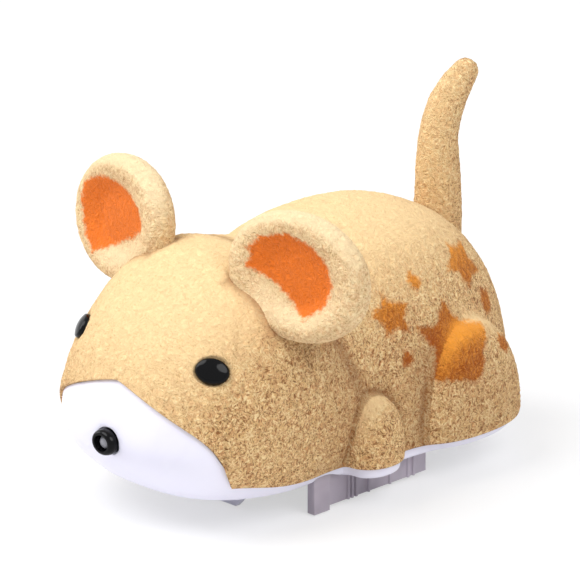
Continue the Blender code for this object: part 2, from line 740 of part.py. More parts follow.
def lower_tray():
    """White tray: muzzle, band, floor, caster housing and every opening in the floor."""
    shape = tray_skin()
    low = HEM_Z - OVERRUN
    high = FLOOR_TOP_Z + OVERRUN
    gap = TOUCH_GAP
    x = pod_half_width() + gap
    shape = less(shape, box((-x, POD_FRONT_Y - gap, low), (x, POD_REAR_Y + gap, high)))
    housing = rod(HEM_Z, HOUSING_TOP_Z, HOUSING_RADIUS, (0.0, CASTER_Y), count=24)
    well = rod(low, HOUSING_TOP_Z - HOUSING_WALL, HOUSING_RADIUS - HOUSING_WALL, (0.0, CASTER_Y), count=24)
    stem = rod(low, HOUSING_TOP_Z + OVERRUN, FORK_STEM_RADIUS + RUNNING_GAP, (0.0, CASTER_Y), count=16)
    shape = less(plus(shape, housing), well, stem)
    half_x, half_y = (size / 2 + gap for size in SOCKET_SIZE)
    outline = rounded_outline(half_x, half_y, half_y * 0.9, centre=(SOCKET_X, BOARD_Y))
    shape = less(shape, prism(outline, low, high))
    half_x = SLIDER_SIZE[0] / 2 + gap
    half_y = (SLIDER_SIZE[1] + SWITCH_TRAVEL) / 2 + gap
    middle = BOARD_Y + SWITCH_TRAVEL / 2
    slot = box((SWITCH_X - half_x, middle - half_y, low), (SWITCH_X + half_x, middle + half_y, high))
    shape = less(shape, slot)
    for place in board_post_places():
        shape = plus(shape, rod(HEM_Z + FLOOR / 2, BOARD_Z - gap, POST_RADIUS * 0.7, place, count=12))
    for side in (1, -1):
        shape = less(shape, skid_tab(side, gap, OVERRUN))
    for place in post_places() + tab_screw_places():
        shape = less(shape, rod(low, high, SCREW_RADIUS + gap, place, count=10))
    frame = nose_matrix()
    radius = NOSE_RADIUS + gap
    low = -NOSE_LENGTH - gap
    pocket = lathe(((radius, low), (radius, OVERRUN)), 24, frame, squash=NOSE_HEIGHT_SHARE)
    radius = NOSE_STEM_RADIUS + gap
    hole = lathe(((radius, low - OVERRUN), (radius, OVERRUN)), 16, frame)
    shape = less(shape, pocket, hole)
    finish("lower_tray", shape, WHITE_PLASTIC)


# Ears, tail, eyes and nose

def ear_profile():
    """A thick disc with a rolled rim, dished in front."""
    half = EAR_THICKNESS / 2
    rim = EAR_RADIUS - half
    points = [(0.0, -half)]
    points.append((rim * 0.6, -half))
    for i in range(7):
        angle = -math.pi / 2 + math.pi * i / 6
        points.append((rim + half * math.cos(angle), half * math.sin(angle)))
    points.append((EAR_DISH_RADIUS, half - EAR_DISH_DEPTH * 0.45))
    points.append((EAR_DISH_RADIUS * 0.8, half - EAR_DISH_DEPTH))
    points.append((0.0, half - EAR_DISH_DEPTH * 1.15))
    return points


def ears():
    """Two dished ears, seated on the shell and pegged through it."""
    for side, name in ((1, "left_ear"), (-1, "right_ear")):
        disc = lathe(ear_profile(), 24, ear_matrix(side), squash=EAR_HEIGHT_SHARE)
        disc = less(disc, form_solid(full_form, -EAR_SEAT_GAP, SHELL_ROWS))
        shape = plus(disc, ear_peg(side, EAR_PEG_RADIUS, 0.0))
        finish(name, shape, EAR_FLOCK)


def tail_radius(share):
    """Tail radius at a share of the way from foot to tip."""
    return TAIL_ROOT_RADIUS * float(np.interp(share, TAIL_WAY_SHARES, TAIL_RADIUS_SHARES))


def tail_path(step_count):
    """Centre points (y, z) of the tail and its lean at each, straight, then bent, then straight."""
    low = tail_foot_z()
    bend = TAIL_BEND_RADIUS * TAIL_BEND_ANGLE
    points = []
    for i in range(step_count + 1):
        way = (TAIL_STRAIGHT + bend + TAIL_END_LENGTH) * i / step_count
        upright = min(way, TAIL_STRAIGHT)
        lean = min(max(way - TAIL_STRAIGHT, 0.0), bend) / TAIL_BEND_RADIUS
        beyond = max(way - TAIL_STRAIGHT - bend, 0.0)
        y = TAIL_Y + TAIL_BEND_RADIUS * (1 - math.cos(lean)) + beyond * math.sin(lean)
        z = low + upright + TAIL_BEND_RADIUS * math.sin(lean) + beyond * math.cos(lean)
        points.append((y, z, lean))
    return points


def tail_surface_z():
    """Height of the back over the tail's axis."""
    return float(cast(full_form, np.array((0.0, TAIL_Y, HEM_Z)), np.array(((0.0, 0.0, 1.0),)))[0][2])


def tail_foot_z():
    """Lower end of the tail's plug."""
    return tail_surface_z() - TAIL_PLUG_DEPTH


def tail(parent, pivot):
    """Tapered tail that stands straight up, then bends backwards to a round tip."""
    shape = bmesh.new()
    rings = []
    count = 14
    steps = 12
    path = tail_path(steps)
    cap = [(0.5, 0.87), (0.87, 0.5)]
    tip_radius = tail_radius(1.0)
    y_end, z_end, turn_end = path[-1]
    stations = [(y, z, turn, tail_radius(i / steps)) for i, (y, z, turn) in enumerate(path)]
    for reach, narrow in cap:
        step = tip_radius * reach
        y = y_end + step * math.sin(turn_end)
        z = z_end + step * math.cos(turn_end)
        stations.append((y, z, turn_end, tip_radius * narrow))
    for y, z, turn, radius in stations:
        ring = []
        for a, b in circle((0.0, 0.0), radius, count):
            ring.append(shape.verts.new((a, y + b * math.cos(turn), z - b * math.sin(turn))))
        rings.append(ring)
    for low, high in zip(rings, rings[1:]):
        join_rings(shape, low, high)
    shape.faces.new(rings[0])
    tip = (0.0, y_end + tip_radius * math.sin(turn_end), z_end + tip_radius * math.cos(turn_end))
    close_ring(shape, rings[-1], tip)
    finish("tail", shape, FLOCK, pivot, parent)


def tail_bush():
    """Cup under the back that the tail's plug turns in."""
    outer = TAIL_ROOT_RADIUS + RUNNING_GAP + TAIL_BUSH_WALL
    foot = tail_foot_z() - TOUCH_GAP
    stock = rod(foot - TAIL_BUSH_WALL, foot + CAST_REACH, outer, (0.0, TAIL_Y), count=24)
    cup = combined(stock, inner_space(TOUCH_GAP), "INTERSECT")
    bore = rod(foot, foot + CAST_REACH, TAIL_ROOT_RADIUS + TOUCH_GAP, (0.0, TAIL_Y), count=24)
    finish("tail_bush", less(cup, bore), WHITE_PLASTIC)


def eyes():
    """Two glossy domed eyes with stems through the shell."""
    for side, name in ((1, "left_eye"), (-1, "right_eye")):
        stem_end = -EYE_SINK - WALL - FLOCK_DEPTH
        profile = [(0.0, stem_end), (EYE_STEM_RADIUS, stem_end), (EYE_STEM_RADIUS, -EYE_SINK)]
        profile.append((EYE_RADIUS, -EYE_SINK))
        for i in range(5):
            angle = math.pi / 2 * i / 5
            profile.append((EYE_RADIUS * math.cos(angle), EYE_DOME * math.sin(angle)))
        profile.append((0.0, EYE_DOME))
        frame = eye_matrix(side)
        shape = lathe(profile, 20, frame, squash=EYE_HEIGHT_SHARE)
        finish(name, shape, BLACK_GLOSS)


def nose_front_y():
    """Front of the nose, the foremost point of the toy."""
    return HEAD_Y - HEAD_HALF_LENGTH - NOSE_PROUD


def nose_matrix():
    """Local Z of the nose points forward, from its foremost point."""
    return facing((0.0, nose_front_y(), NOSE_Z), Vector((0.0, -1.0, 0.0)))


def nose():
    """Oval nose rim with a round window, its lens and the sensor board behind it."""
    frame = nose_matrix()
    bore = LENS_RADIUS + TOUCH_GAP
    back = -NOSE_LENGTH
    stem_end = back - NOSE_STEM_LENGTH
    oval_profile = [(0.0, back), (NOSE_RADIUS, back), (NOSE_RADIUS, back * 0.45)]
    oval_profile += [(NOSE_RADIUS * 0.9, back * 0.16), (NOSE_RADIUS * 0.72, 0.0), (0.0, 0.0)]
    rim = lathe(oval_profile, 20, frame, squash=NOSE_HEIGHT_SHARE)
    stem = lathe(((NOSE_STEM_RADIUS, stem_end), (NOSE_STEM_RADIUS, back * 0.8)), 16, frame)
    way = ((bore, stem_end - OVERRUN), (bore, back * 0.3), (bore * 1.3, 0.0), (bore * 1.3, OVERRUN))
    finish("nose_rim", less(plus(rim, stem), lathe(way, 16, frame)), BLACK_GLOSS)
    lens = [(0.0, stem_end), (LENS_RADIUS, stem_end), (LENS_RADIUS, back * 0.4)]
    lens += [(LENS_RADIUS * 0.7, back * 0.25), (0.0, back * 0.18)]
    finish("nose_lens", lathe(lens, 16, frame), LENS_GREY)
    half = NOSE_BOARD_SIZE / 2
    y = nose_front_y() - stem_end + TOUCH_GAP
    low = (-half, y, NOSE_Z - half)
    high = (half, y + BOARD_THICKNESS, NOSE_Z + half)
    board = box(low, high)
    chip_half = half / 2
    y += BOARD_THICKNESS / 2
    chip = box((-chip_half, y, NOSE_Z - chip_half), (chip_half, y + BOARD_THICKNESS * 1.5, NOSE_Z + chip_half))
    finish("nose_board", plus(board, chip), BOARD_GREEN)


# Drive

def involute_angle(radius, base):
    """Angle that an involute has turned at a radius."""
    if radius <= base:
        return 0.0
    pressure = math.acos(base / radius)
    return math.tan(pressure) - pressure


def gear_outline(teeth, centre, phase):
    """Spur gear outline in the YZ plane with a tooth centred on the phase angle."""
    pitch = GEAR_MODULE * teeth / 2
    base = pitch * math.cos(PRESSURE_ANGLE)
    root = pitch - DEDENDUM_SHARE * GEAR_MODULE
    tip = pitch + ADDENDUM_SHARE * GEAR_MODULE
    half_pitch = math.pi / (2 * teeth) - BACKLASH / (2 * pitch)
    points = []
    for tooth in range(teeth):
        middle = phase + 2 * math.pi * tooth / teeth
        flank = []
        for radius in (root, tip):
            turned = involute_angle(max(radius, base), base) - involute_angle(pitch, base)
            flank.append((radius, half_pitch - turned))
        for radius, half in flank:
            points.append((radius, middle - half))
        for radius, half in reversed(flank):
            points.append((radius, middle + half))
    return [(centre[0] + r * math.cos(a), centre[1] + r * math.sin(a)) for r, a in points]


def spur_gear(teeth, centre, phase, low, high, bore):
    """Spur gear with a bore, along X."""
    shape = prism(gear_outline(teeth, centre, phase), low, high, "X")
    return less(shape, rod(low - OVERRUN, high + OVERRUN, bore, centre, "X", 16))


def hull(points):
    """Convex outline round a set of points."""
    ordered = sorted(points)

    def half(sequence):
        chain = []
        for point in sequence:
            while len(chain) > 1 and turning(chain[-2], chain[-1], point) <= 0:
                chain.pop()
            chain.append(point)
        return chain[:-1]

    return half(ordered) + half(reversed(ordered))


def turning(a, b, c):
    """Above zero where a, b, c turn left."""
    return (b[0] - a[0]) * (c[1] - a[1]) - (b[1] - a[1]) * (c[0] - a[0])


def gearbox_outline(grow):
    """Outline round the gear train, seen along X."""
    tip = GEAR_MODULE * ADDENDUM_SHARE + GEAR_TIP_GAP + grow
    axes = (((AXLE_Y, AXLE_Z), WHEEL_GEAR_TEETH), ((IDLER_Y, IDLER_Z), IDLER_GEAR_TEETH),
            ((MOTOR_Y, MOTOR_Z), MOTOR_PINION_TEETH))
    points = []
    for centre, teeth in axes:
        points += circle(centre, GEAR_MODULE * teeth / 2 + tip, 20)
    return hull(points)


def gear_foot_places():
    """Front and rear screw places of a gear plate's feet, and the feet's spans in Y."""
    outline = gearbox_outline(COVER_WALL)
    near_deck = [y for y, z in outline if z < IDLER_Z]
    front = min(near_deck)
    rear = max(y for y, z in outline)
    return ((front - 2 * SCREW_HEAD_RADIUS, front), (rear, rear + 2 * SCREW_HEAD_RADIUS))


def gear_plate(side, name):
    """Inner plate of a gearbox, which carries the motor, the bush and the idler pin."""
    outer = PLATE_X + PLATE_THICKNESS
    shape = prism(gearbox_outline(COVER_WALL), PLATE_X, outer, "X")
    foot_low = DECK_TOP_Z + TOUCH_GAP
    foot_high = foot_low + PLATE_THICKNESS
    overlap = PLATE_THICKNESS
    for low_y, high_y in gear_foot_places():
        low = (PLATE_X, low_y - overlap, foot_low)
        high = (foot_screw_x() + SCREW_HEAD_RADIUS, high_y + overlap, foot_high)
        centre = (low_y + high_y) / 2
        near = min(abs(low_y - AXLE_Y), abs(high_y - AXLE_Y))
        reach = math.copysign(near - SECOND_CENTRES / 2, centre - AXLE_Y)
        web_y = sorted((AXLE_Y + reach, centre + math.copysign(SCREW_HEAD_RADIUS, centre - AXLE_Y)))
        web = box((PLATE_X, web_y[0], foot_low), (outer, web_y[1], foot_high + 2 * PLATE_THICKNESS))
        foot_y = (centre - SCREW_HEAD_RADIUS, centre + SCREW_HEAD_RADIUS)
        foot = box((low[0], foot_y[0], low[2]), (high[0], foot_y[1], high[2]))
        hole = rod(foot_low - OVERRUN, foot_high + OVERRUN, SCREW_RADIUS + TOUCH_GAP,
                   (foot_screw_x(), centre), count=10)
        shape = less(plus(shape, web, foot), hole)
    through = (PLATE_X - OVERRUN, outer + OVERRUN)
    shape = less(shape, rod(*through, BUSH_RADIUS + RUNNING_GAP, (AXLE_Y, AXLE_Z), "X", 16))
    shape = less(shape, rod(*through, MOTOR_BOSS_RADIUS + RUNNING_GAP, (MOTOR_Y, MOTOR_Z), "X", 20))
    shape = less(shape, rod(*through, SHAFT_RADIUS + RUNNING_GAP, (IDLER_Y, IDLER_Z), "X", 16))
    finish(name, mirrored(shape, side), NATURAL_NYLON)


def foot_screw_x():
    """Distance of the gear plate's foot screws from the middle plane."""
    return PLATE_X + PLATE_THICKNESS + SCREW_HEAD_RADIUS + TOUCH_GAP


def gear_cover(side, name):
    """Outer cover of a gearbox, open towards its plate."""
    low = PLATE_X + PLATE_THICKNESS + TOUCH_GAP
    shape = prism(gearbox_outline(COVER_WALL), low, COVER_OUTER_X, "X")
    inside = prism(gearbox_outline(0.0), low - OVERRUN, COVER_INNER_X, "X")
    pin = rod(low, COVER_OUTER_X + OVERRUN, SHAFT_RADIUS + RUNNING_GAP, (IDLER_Y, IDLER_Z), "X", 16)
    finish(name, mirrored(less(shape, inside, pin), side), NATURAL_NYLON)


def wheel(side, parent, pivot, names):
    """Hub, tyre, axle and gear that turn together."""
    hub_name, tyre_name, axle_name, gear_name = names
    rim = WHEEL_RADIUS - TYRE_THICKNESS
    bore = SHAFT_RADIUS + RUNNING_GAP
    low, high = WHEEL_INNER_X, WHEEL_OUTER_X
    dish = WHEEL_WIDTH * 0.3
    hub = [(bore, low), (rim, low), (rim, high), (rim * 0.86, high), (rim * 0.8, high - dish),
           (rim * 0.36, high - dish), (rim * 0.3, high), (bore, high)]
    frame = on_axis_x(AXLE_Y, AXLE_Z)
    finish(hub_name, mirrored(lathe(hub, 24, frame, closed=True), side), WHITE_PLASTIC, pivot, parent)
    seat = rim + RUNNING_GAP * 2
    shoulder = TYRE_THICKNESS * 0.3
    tyre = [(seat, low), (WHEEL_RADIUS - shoulder, low), (WHEEL_RADIUS, low + shoulder),
            (WHEEL_RADIUS, high - shoulder), (WHEEL_RADIUS - shoulder, high), (seat, high)]
    finish(tyre_name, mirrored(lathe(tyre, 28, frame, closed=True), side), RUBBER, pivot, parent)
    start = KEEL_HALF_WIDTH - KEEL_WALL + TOUCH_GAP
    axle = rod(start, SHAFT_END_X, SHAFT_RADIUS, (AXLE_Y, AXLE_Z), "X")
    finish(axle_name, mirrored(axle, side), STEEL, pivot, parent)
    gear = spur_gear(WHEEL_GEAR_TEETH, (AXLE_Y, AXLE_Z), IDLER_DIRECTION, STAGE_TWO_X,
                     STAGE_TWO_X + GEAR_WIDTH, SHAFT_RADIUS + RUNNING_GAP)
    finish(gear_name, mirrored(gear, side), NATURAL_NYLON, pivot, parent, smooth=False)


def axle_bush(side, name):
    """Flanged brass bush in the gear plate."""
    outer = PLATE_X + PLATE_THICKNESS
    flange = PLATE_X - PLATE_GAP * 0.6
    bore = SHAFT_RADIUS + RUNNING_GAP
    profile = [(bore, flange), (BUSH_RADIUS * 1.3, flange), (BUSH_RADIUS * 1.3, PLATE_X - RUNNING_GAP),
               (BUSH_RADIUS, PLATE_X - RUNNING_GAP), (BUSH_RADIUS, outer), (bore, outer)]
    frame = on_axis_x(AXLE_Y, AXLE_Z)
    finish(name, mirrored(lathe(profile, 16, frame, closed=True), side), BRASS)


def idler_pin(side, name):
    """Steel pin held between gear plate and cover."""
    shape = rod(PLATE_X + TOUCH_GAP, COVER_OUTER_X - TOUCH_GAP, SHAFT_RADIUS, (IDLER_Y, IDLER_Z), "X")
    finish(name, mirrored(shape, side), STEEL)


def idler(side, parent, pivot, name):
    """Compound gear: its small part drives the wheel gear, the motor drives its large part."""
    centre = (IDLER_Y, IDLER_Z)
    bore = SHAFT_RADIUS + RUNNING_GAP
    small_phase = IDLER_DIRECTION + math.pi + math.pi / IDLER_PINION_TEETH
    small = prism(gear_outline(IDLER_PINION_TEETH, centre, small_phase), STAGE_TWO_X,
                  STAGE_ONE_X + GEAR_WIDTH / 2, "X")
    large = prism(gear_outline(IDLER_GEAR_TEETH, centre, MOTOR_DIRECTION), STAGE_ONE_X,
                  STAGE_ONE_X + GEAR_WIDTH, "X")
    hole = rod(STAGE_TWO_X - OVERRUN, COVER_OUTER_X + OVERRUN, bore, centre, "X")
    shape = less(plus(small, large), hole)
    finish(name, mirrored(shape, side), NATURAL_NYLON, pivot, parent, smooth=False)


def motor(side, names):
    """Motor can with its boss in the gear plate, and its end cap."""
    can_name, cap_name = names
    bore = MOTOR_SHAFT_RADIUS + RUNNING_GAP
    start = MOTOR_INNER_X + END_CAP_LENGTH
    edge = MOTOR_RADIUS * 0.08
    can = [(bore, start), (MOTOR_RADIUS, start), (MOTOR_RADIUS, MOTOR_OUTER_X - edge),
           (MOTOR_RADIUS - edge, MOTOR_OUTER_X), (MOTOR_BOSS_RADIUS, MOTOR_OUTER_X),
           (MOTOR_BOSS_RADIUS, PLATE_X + PLATE_THICKNESS), (bore, PLATE_X + PLATE_THICKNESS)]
    frame = on_axis_x(MOTOR_Y, MOTOR_Z)
    finish(can_name, mirrored(lathe(can, 20, frame, closed=True), side), STEEL)
    end = start - TOUCH_GAP
    radius = MOTOR_RADIUS * 0.93
    cap = [(bore, MOTOR_INNER_X + edge * 2), (radius * 0.4, MOTOR_INNER_X), (radius * 0.85, MOTOR_INNER_X),
           (radius, MOTOR_INNER_X + edge * 2), (radius, end), (bore, end)]
    finish(cap_name, mirrored(lathe(cap, 16, frame, closed=True), side), BLACK_PLASTIC)


def rotor(side, parent, pivot, names):
    """Motor shaft and the pinion pressed on it."""
    shaft_name, pinion_name = names
    centre = (MOTOR_Y, MOTOR_Z)
    start = MOTOR_INNER_X + END_CAP_LENGTH / 2
    shaft = rod(start, SHAFT_END_X, MOTOR_SHAFT_RADIUS, centre, "X", 12)
    finish(shaft_name, mirrored(shaft, side), STEEL, pivot, parent)
    phase = MOTOR_DIRECTION + math.pi + math.pi / MOTOR_PINION_TEETH
    pinion = spur_gear(MOTOR_PINION_TEETH, centre, phase, STAGE_ONE_X, STAGE_ONE_X + GEAR_WIDTH,
                       MOTOR_SHAFT_RADIUS + RUNNING_GAP)
    finish(pinion_name, mirrored(pinion, side), BRASS, pivot, parent, smooth=False)


def drive_side(side, word):
    """Everything that drives one wheel."""
    wheel_pivot = (side * (WHEEL_INNER_X + WHEEL_WIDTH / 2), AXLE_Y, AXLE_Z)
    wheel_empty = joint_empty(word + "_wheel_axis", wheel_pivot)
    wheel_names = [word + end for end in ("_wheel_hub", "_tyre", "_axle", "_wheel_gear")]
    wheel(side, wheel_empty, wheel_pivot, wheel_names)
    idler_pivot = (side * STAGE_ONE_X, IDLER_Y, IDLER_Z)
    idler_empty = joint_empty(word + "_idler_axis", idler_pivot)
    idler(side, idler_empty, idler_pivot, word + "_idler_gear")
    rotor_pivot = (side * STAGE_ONE_X, MOTOR_Y, MOTOR_Z)
    rotor_empty = joint_empty(word + "_rotor_axis", rotor_pivot)
    rotor(side, rotor_empty, rotor_pivot, (word + "_motor_shaft", word + "_motor_pinion"))
    motor(side, (word + "_motor_can", word + "_motor_end_cap"))
    gear_plate(side, word + "_gear_plate")
    gear_cover(side, word + "_gear_cover")
    axle_bush(side, word + "_axle_bush")
    idler_pin(side, word + "_idler_pin")


# Pod, skid and caster

def skirt(side):
    """Ribbed side wall of the pod with its front foot."""
    outer = POD_OUTER_X
    points = [(SKIRT_INNER_X, POD_REAR_Y), (SKIRT_INNER_X, POD_FRONT_Y), (outer, POD_FRONT_Y)]
    for place in RIB_PLACES:
        low, high = place - RIB_WIDTH / 2, place + RIB_WIDTH / 2
        points += [(outer, low), (outer + RIB_HEIGHT, low), (outer + RIB_HEIGHT, high), (outer, high)]
    points.append((outer, POD_REAR_Y))
    top = DECK_BOTTOM_Z + DECK_THICKNESS / 2
    wall = prism(points, SKIRT_CLEAR_Z, top)
    foot_end = POD_FRONT_Y + FOOT_LENGTH
    foot = box((SKIRT_INNER_X, POD_FRONT_Y, FOOT_CLEAR_Z), (outer + FOOT_PROUD, foot_end, top))
    return mirrored(plus(wall, foot), side)


def wheel_slot(side):
    """Opening in the deck for a wheel and its gearbox."""
    outline = gearbox_outline(COVER_WALL)
    at_deck = [y for y, z in outline if z < IDLER_Z]
    low_y = min(AXLE_Y - WHEEL_RADIUS, min(at_deck)) - 2 * TOUCH_GAP
    high_y = max(AXLE_Y + WHEEL_RADIUS, max(at_deck)) + 2 * TOUCH_GAP
    low = (WHEEL_INNER_X - GEAR_SIDE_GAP, low_y, 0.0)
    high = (COVER_OUTER_X + TOUCH_GAP, high_y, DECK_TOP_Z + OVERRUN)
    return mirrored(box(low, high), side)


def tab_screw_places():
    """Screws through the tray floor into the pod's tabs."""
    ys = (POD_FRONT_Y - TAB_LENGTH / 2, POD_REAR_Y + TAB_LENGTH / 2)
    return [(side * TAB_SCREW_X, y) for y in ys for side in (1, -1)]


def drive_pod():
    """Grey pod: deck, keel box, ribbed skirts, feet and screw tabs."""
    x = POD_OUTER_X
    deck = box((-x, POD_FRONT_Y, DECK_BOTTOM_Z), (x, POD_REAR_Y, DECK_TOP_Z))
    tabs = box((-TAB_HALF_WIDTH, POD_FRONT_Y - TAB_LENGTH, DECK_BOTTOM_Z),
               (TAB_HALF_WIDTH, POD_REAR_Y + TAB_LENGTH, DECK_TOP_Z))
    half = KEEL_HALF_WIDTH
    keel = box((-half, KEEL_FRONT_Y, KEEL_CLEAR_Z), (half, KEEL_REAR_Y, DECK_BOTTOM_Z + DECK_THICKNESS / 2))
    shape = plus(deck, tabs, keel, skirt(1), skirt(-1))
    bosses = [rod(DECK_BOTTOM_Z, DECK_TOP_Z + SCREW_LENGTH * 0.4, POST_RADIUS * 0.8, place, count=12)
              for place in tab_screw_places()]
    shape = plus(shape, *bosses)
    half -= KEEL_WALL
    inside = box((-half, KEEL_FRONT_Y + KEEL_WALL, KEEL_CLEAR_Z + KEEL_WALL),
                 (half, KEEL_REAR_Y - KEEL_WALL, DECK_TOP_Z + OVERRUN))
    shape = less(shape, inside, wheel_slot(1), wheel_slot(-1))
    bearing = rod(-WHEEL_INNER_X, WHEEL_INNER_X, SHAFT_RADIUS + RUNNING_GAP, (AXLE_Y, AXLE_Z), "X", 16)
    shape = less(shape, bearing)
    holes = [rod(DECK_BOTTOM_Z - OVERRUN, DECK_TOP_Z + SCREW_LENGTH, SCREW_RADIUS + TOUCH_GAP, place, count=10)
             for place in tab_screw_places()]
    for front, rear in gear_foot_places():
        for side in (1, -1):
            place = (side * foot_screw_x(), (front + rear) / 2)
            holes.append(rod(DECK_BOTTOM_Z - OVERRUN, DECK_TOP_Z + OVERRUN, SCREW_RADIUS + TOUCH_GAP,
                             place, count=10))
    finish("drive_pod", less(shape, *holes), GREY_PLASTIC)


def skid_tab(side, grow, extra):
    """A tab of the front skid, and with grow its slot in the floor."""
    half_x = SKID_TAB_WIDTH / 2 + grow
    half_y = SKID_THICKNESS / 2 + grow
    x = side * SKID_TAB_PLACE
    low = (x - half_x, SKID_Y - half_y, HEM_Z - SKID_THICKNESS - extra)
    high = (x + half_x, SKID_Y + half_y, FLOOR_TOP_Z + SKID_THICKNESS + extra)
    return box(low, high)


def front_skid():
    """Thin pale blade under the chin, held by two tabs."""
    half = SKID_HALF_WIDTH
    top = HEM_Z - TOUCH_GAP
    corner = SKID_THICKNESS
    outline = [(-half, top), (-half, SKID_CLEAR_Z + corner), (-half + corner, SKID_CLEAR_Z),
               (half - corner, SKID_CLEAR_Z), (half, SKID_CLEAR_Z + corner), (half, top)]
    half_y = SKID_THICKNESS / 2
    blade = prism(outline, SKID_Y - half_y, SKID_Y + half_y, "Y")
    shape = plus(blade, skid_tab(1, 0.0, 0.0), skid_tab(-1, 0.0, 0.0))
    finish("front_skid", shape, WHITE_PLASTIC)


def caster():
    """Swivelling fork with a small roller behind its stem."""
    swivel = (0.0, CASTER_Y, FORK_DISC_Z)
    fork_empty = joint_empty("caster_swivel_axis", swivel)
    disc_top = FORK_DISC_Z + FORK_DISC_THICKNESS
    place = (0.0, CASTER_Y)
    pin_y = CASTER_Y + CASTER_TRAIL
    disc = rod(FORK_DISC_Z, disc_top, FORK_DISC_RADIUS, place, count=24)
    stem = rod(FORK_DISC_Z, HOUSING_TOP_Z + FORK_DISC_THICKNESS, FORK_STEM_RADIUS, place, count=16)
    shape = plus(disc, stem)
    leg_low = CASTER_WIDTH / 2 + TOUCH_GAP * 2
    half_y = FORK_LEG_LENGTH / 2
    for side in (1, -1):
        xs = sorted((side * leg_low, side * (leg_low + FORK_LEG_THICKNESS)))
        leg = box((xs[0], pin_y - half_y, CASTER_PIN_Z - half_y / 2), (xs[1], pin_y + half_y, disc_top))
        shape = plus(shape, leg)
    across = leg_low + FORK_LEG_THICKNESS
    hole = rod(-across - OVERRUN, across + OVERRUN, CASTER_PIN_RADIUS + RUNNING_GAP, (pin_y, CASTER_PIN_Z), "X", 14)
    finish("caster_fork", less(shape, hole), GREY_PLASTIC, swivel, fork_empty)
    pin = rod(-across, across, CASTER_PIN_RADIUS, (pin_y, CASTER_PIN_Z), "X", 14)
    finish("caster_pin", pin, STEEL, swivel, fork_empty)
    half = CASTER_WIDTH / 2
    bore = CASTER_PIN_RADIUS + RUNNING_GAP
    edge = CASTER_RADIUS * 0.12
    profile = [(bore, -half), (CASTER_RADIUS - edge, -half), (CASTER_RADIUS, -half + edge),
               (CASTER_RADIUS, half - edge), (CASTER_RADIUS - edge, half), (bore, half)]
    roll = (0.0, pin_y, CASTER_PIN_Z)
    roll_empty = joint_empty("caster_roll_axis", roll)
    roller = lathe(profile, 24, on_axis_x(pin_y, CASTER_PIN_Z), closed=True)
    finish("caster_wheel", roller, WHITE_PLASTIC, roll, roll_empty)
    clip_low = HOUSING_TOP_Z + TOUCH_GAP
    ring = [(FORK_STEM_RADIUS + RUNNING_GAP, clip_low), (FORK_STEM_RADIUS * 2, clip_low),
            (FORK_STEM_RADIUS * 2, clip_low + FORK_DISC_THICKNESS / 2),
            (FORK_STEM_RADIUS + RUNNING_GAP, clip_low + FORK_DISC_THICKNESS / 2)]
    clip = lathe(ring, 16, Matrix.Translation((0.0, CASTER_Y, 0.0)), closed=True)
    finish("caster_clip", clip, STEEL, swivel, fork_empty)


# Electrics

def board_half_size():
    """Half width and half length of the circuit board."""
    return BOARD_SIZE[0] / 2, BOARD_SIZE[1] / 2


def circuit_board():
    """Main board with its processor and a capacitor."""
    half_x, half_y = board_half_size()
    top = BOARD_Z + BOARD_THICKNESS
    board = box((-half_x, BOARD_Y - half_y, BOARD_Z), (half_x, BOARD_Y + half_y, top))
    chip_x, chip_y, chip_z = (size / 2 for size in CHIP_SIZE)
    chip = box((-chip_x, BOARD_Y - chip_y, top - BOARD_THICKNESS / 2), (chip_x, BOARD_Y + chip_y, top + chip_z * 2))
    shape = plus(board, chip)
    for side in (1, -1):
        place = (side * half_x * 0.62, BOARD_Y)
        can = rod(top - BOARD_THICKNESS / 2, top + COIL_HEIGHT, COIL_RADIUS, place, count=16)
        shape = plus(shape, can)
    finish("circuit_board", shape, BOARD_GREEN)


def board_post_places():
    """Two posts on the tray's floor that carry the board."""
    half_x, _ = board_half_size()
    y = POD_REAR_Y + TAB_LENGTH + POST_RADIUS + TOUCH_GAP
    return [(side * half_x * 0.3, y) for side in (1, -1)]


def battery():
    """Rechargeable cell in the pod's keel."""
    half_x, half_y, _ = (size / 2 for size in BATTERY_SIZE)
    middle = (KEEL_FRONT_Y + KEEL_REAR_Y) / 2
    low = KEEL_CLEAR_Z + KEEL_WALL + TOUCH_GAP
    corner = half_x * 0.2
    outline = rounded_outline(half_x, half_y, corner, centre=(0.0, middle))
    finish("battery", prism(outline, low, low + BATTERY_SIZE[2]), CELL_BLUE)


def charge_socket():
    """Upright charging socket on the board, its mouth in the tray's floor."""
    half_x, half_y = (size / 2 for size in SOCKET_SIZE)
    outer = rounded_outline(half_x, half_y, half_y * 0.9, centre=(SOCKET_X, BOARD_Y))
    inner_x, inner_y = half_x - SOCKET_WALL, half_y - SOCKET_WALL
    inner = rounded_outline(inner_x, inner_y, inner_y * 0.9, centre=(SOCKET_X, BOARD_Y))
    low = HEM_Z + TOUCH_GAP
    body = prism(outer, low, BOARD_Z - TOUCH_GAP)
    mouth = prism(inner, low - OVERRUN, low + SOCKET_DEPTH)
    tongue_x, tongue_y = inner_x * 0.75, SOCKET_WALL
    tongue = box((SOCKET_X - tongue_x, BOARD_Y - tongue_y, low + SOCKET_WALL),
                 (SOCKET_X + tongue_x, BOARD_Y + tongue_y, low + SOCKET_DEPTH + SOCKET_WALL))
    finish("charge_socket", plus(less(body, mouth), tongue), STEEL)


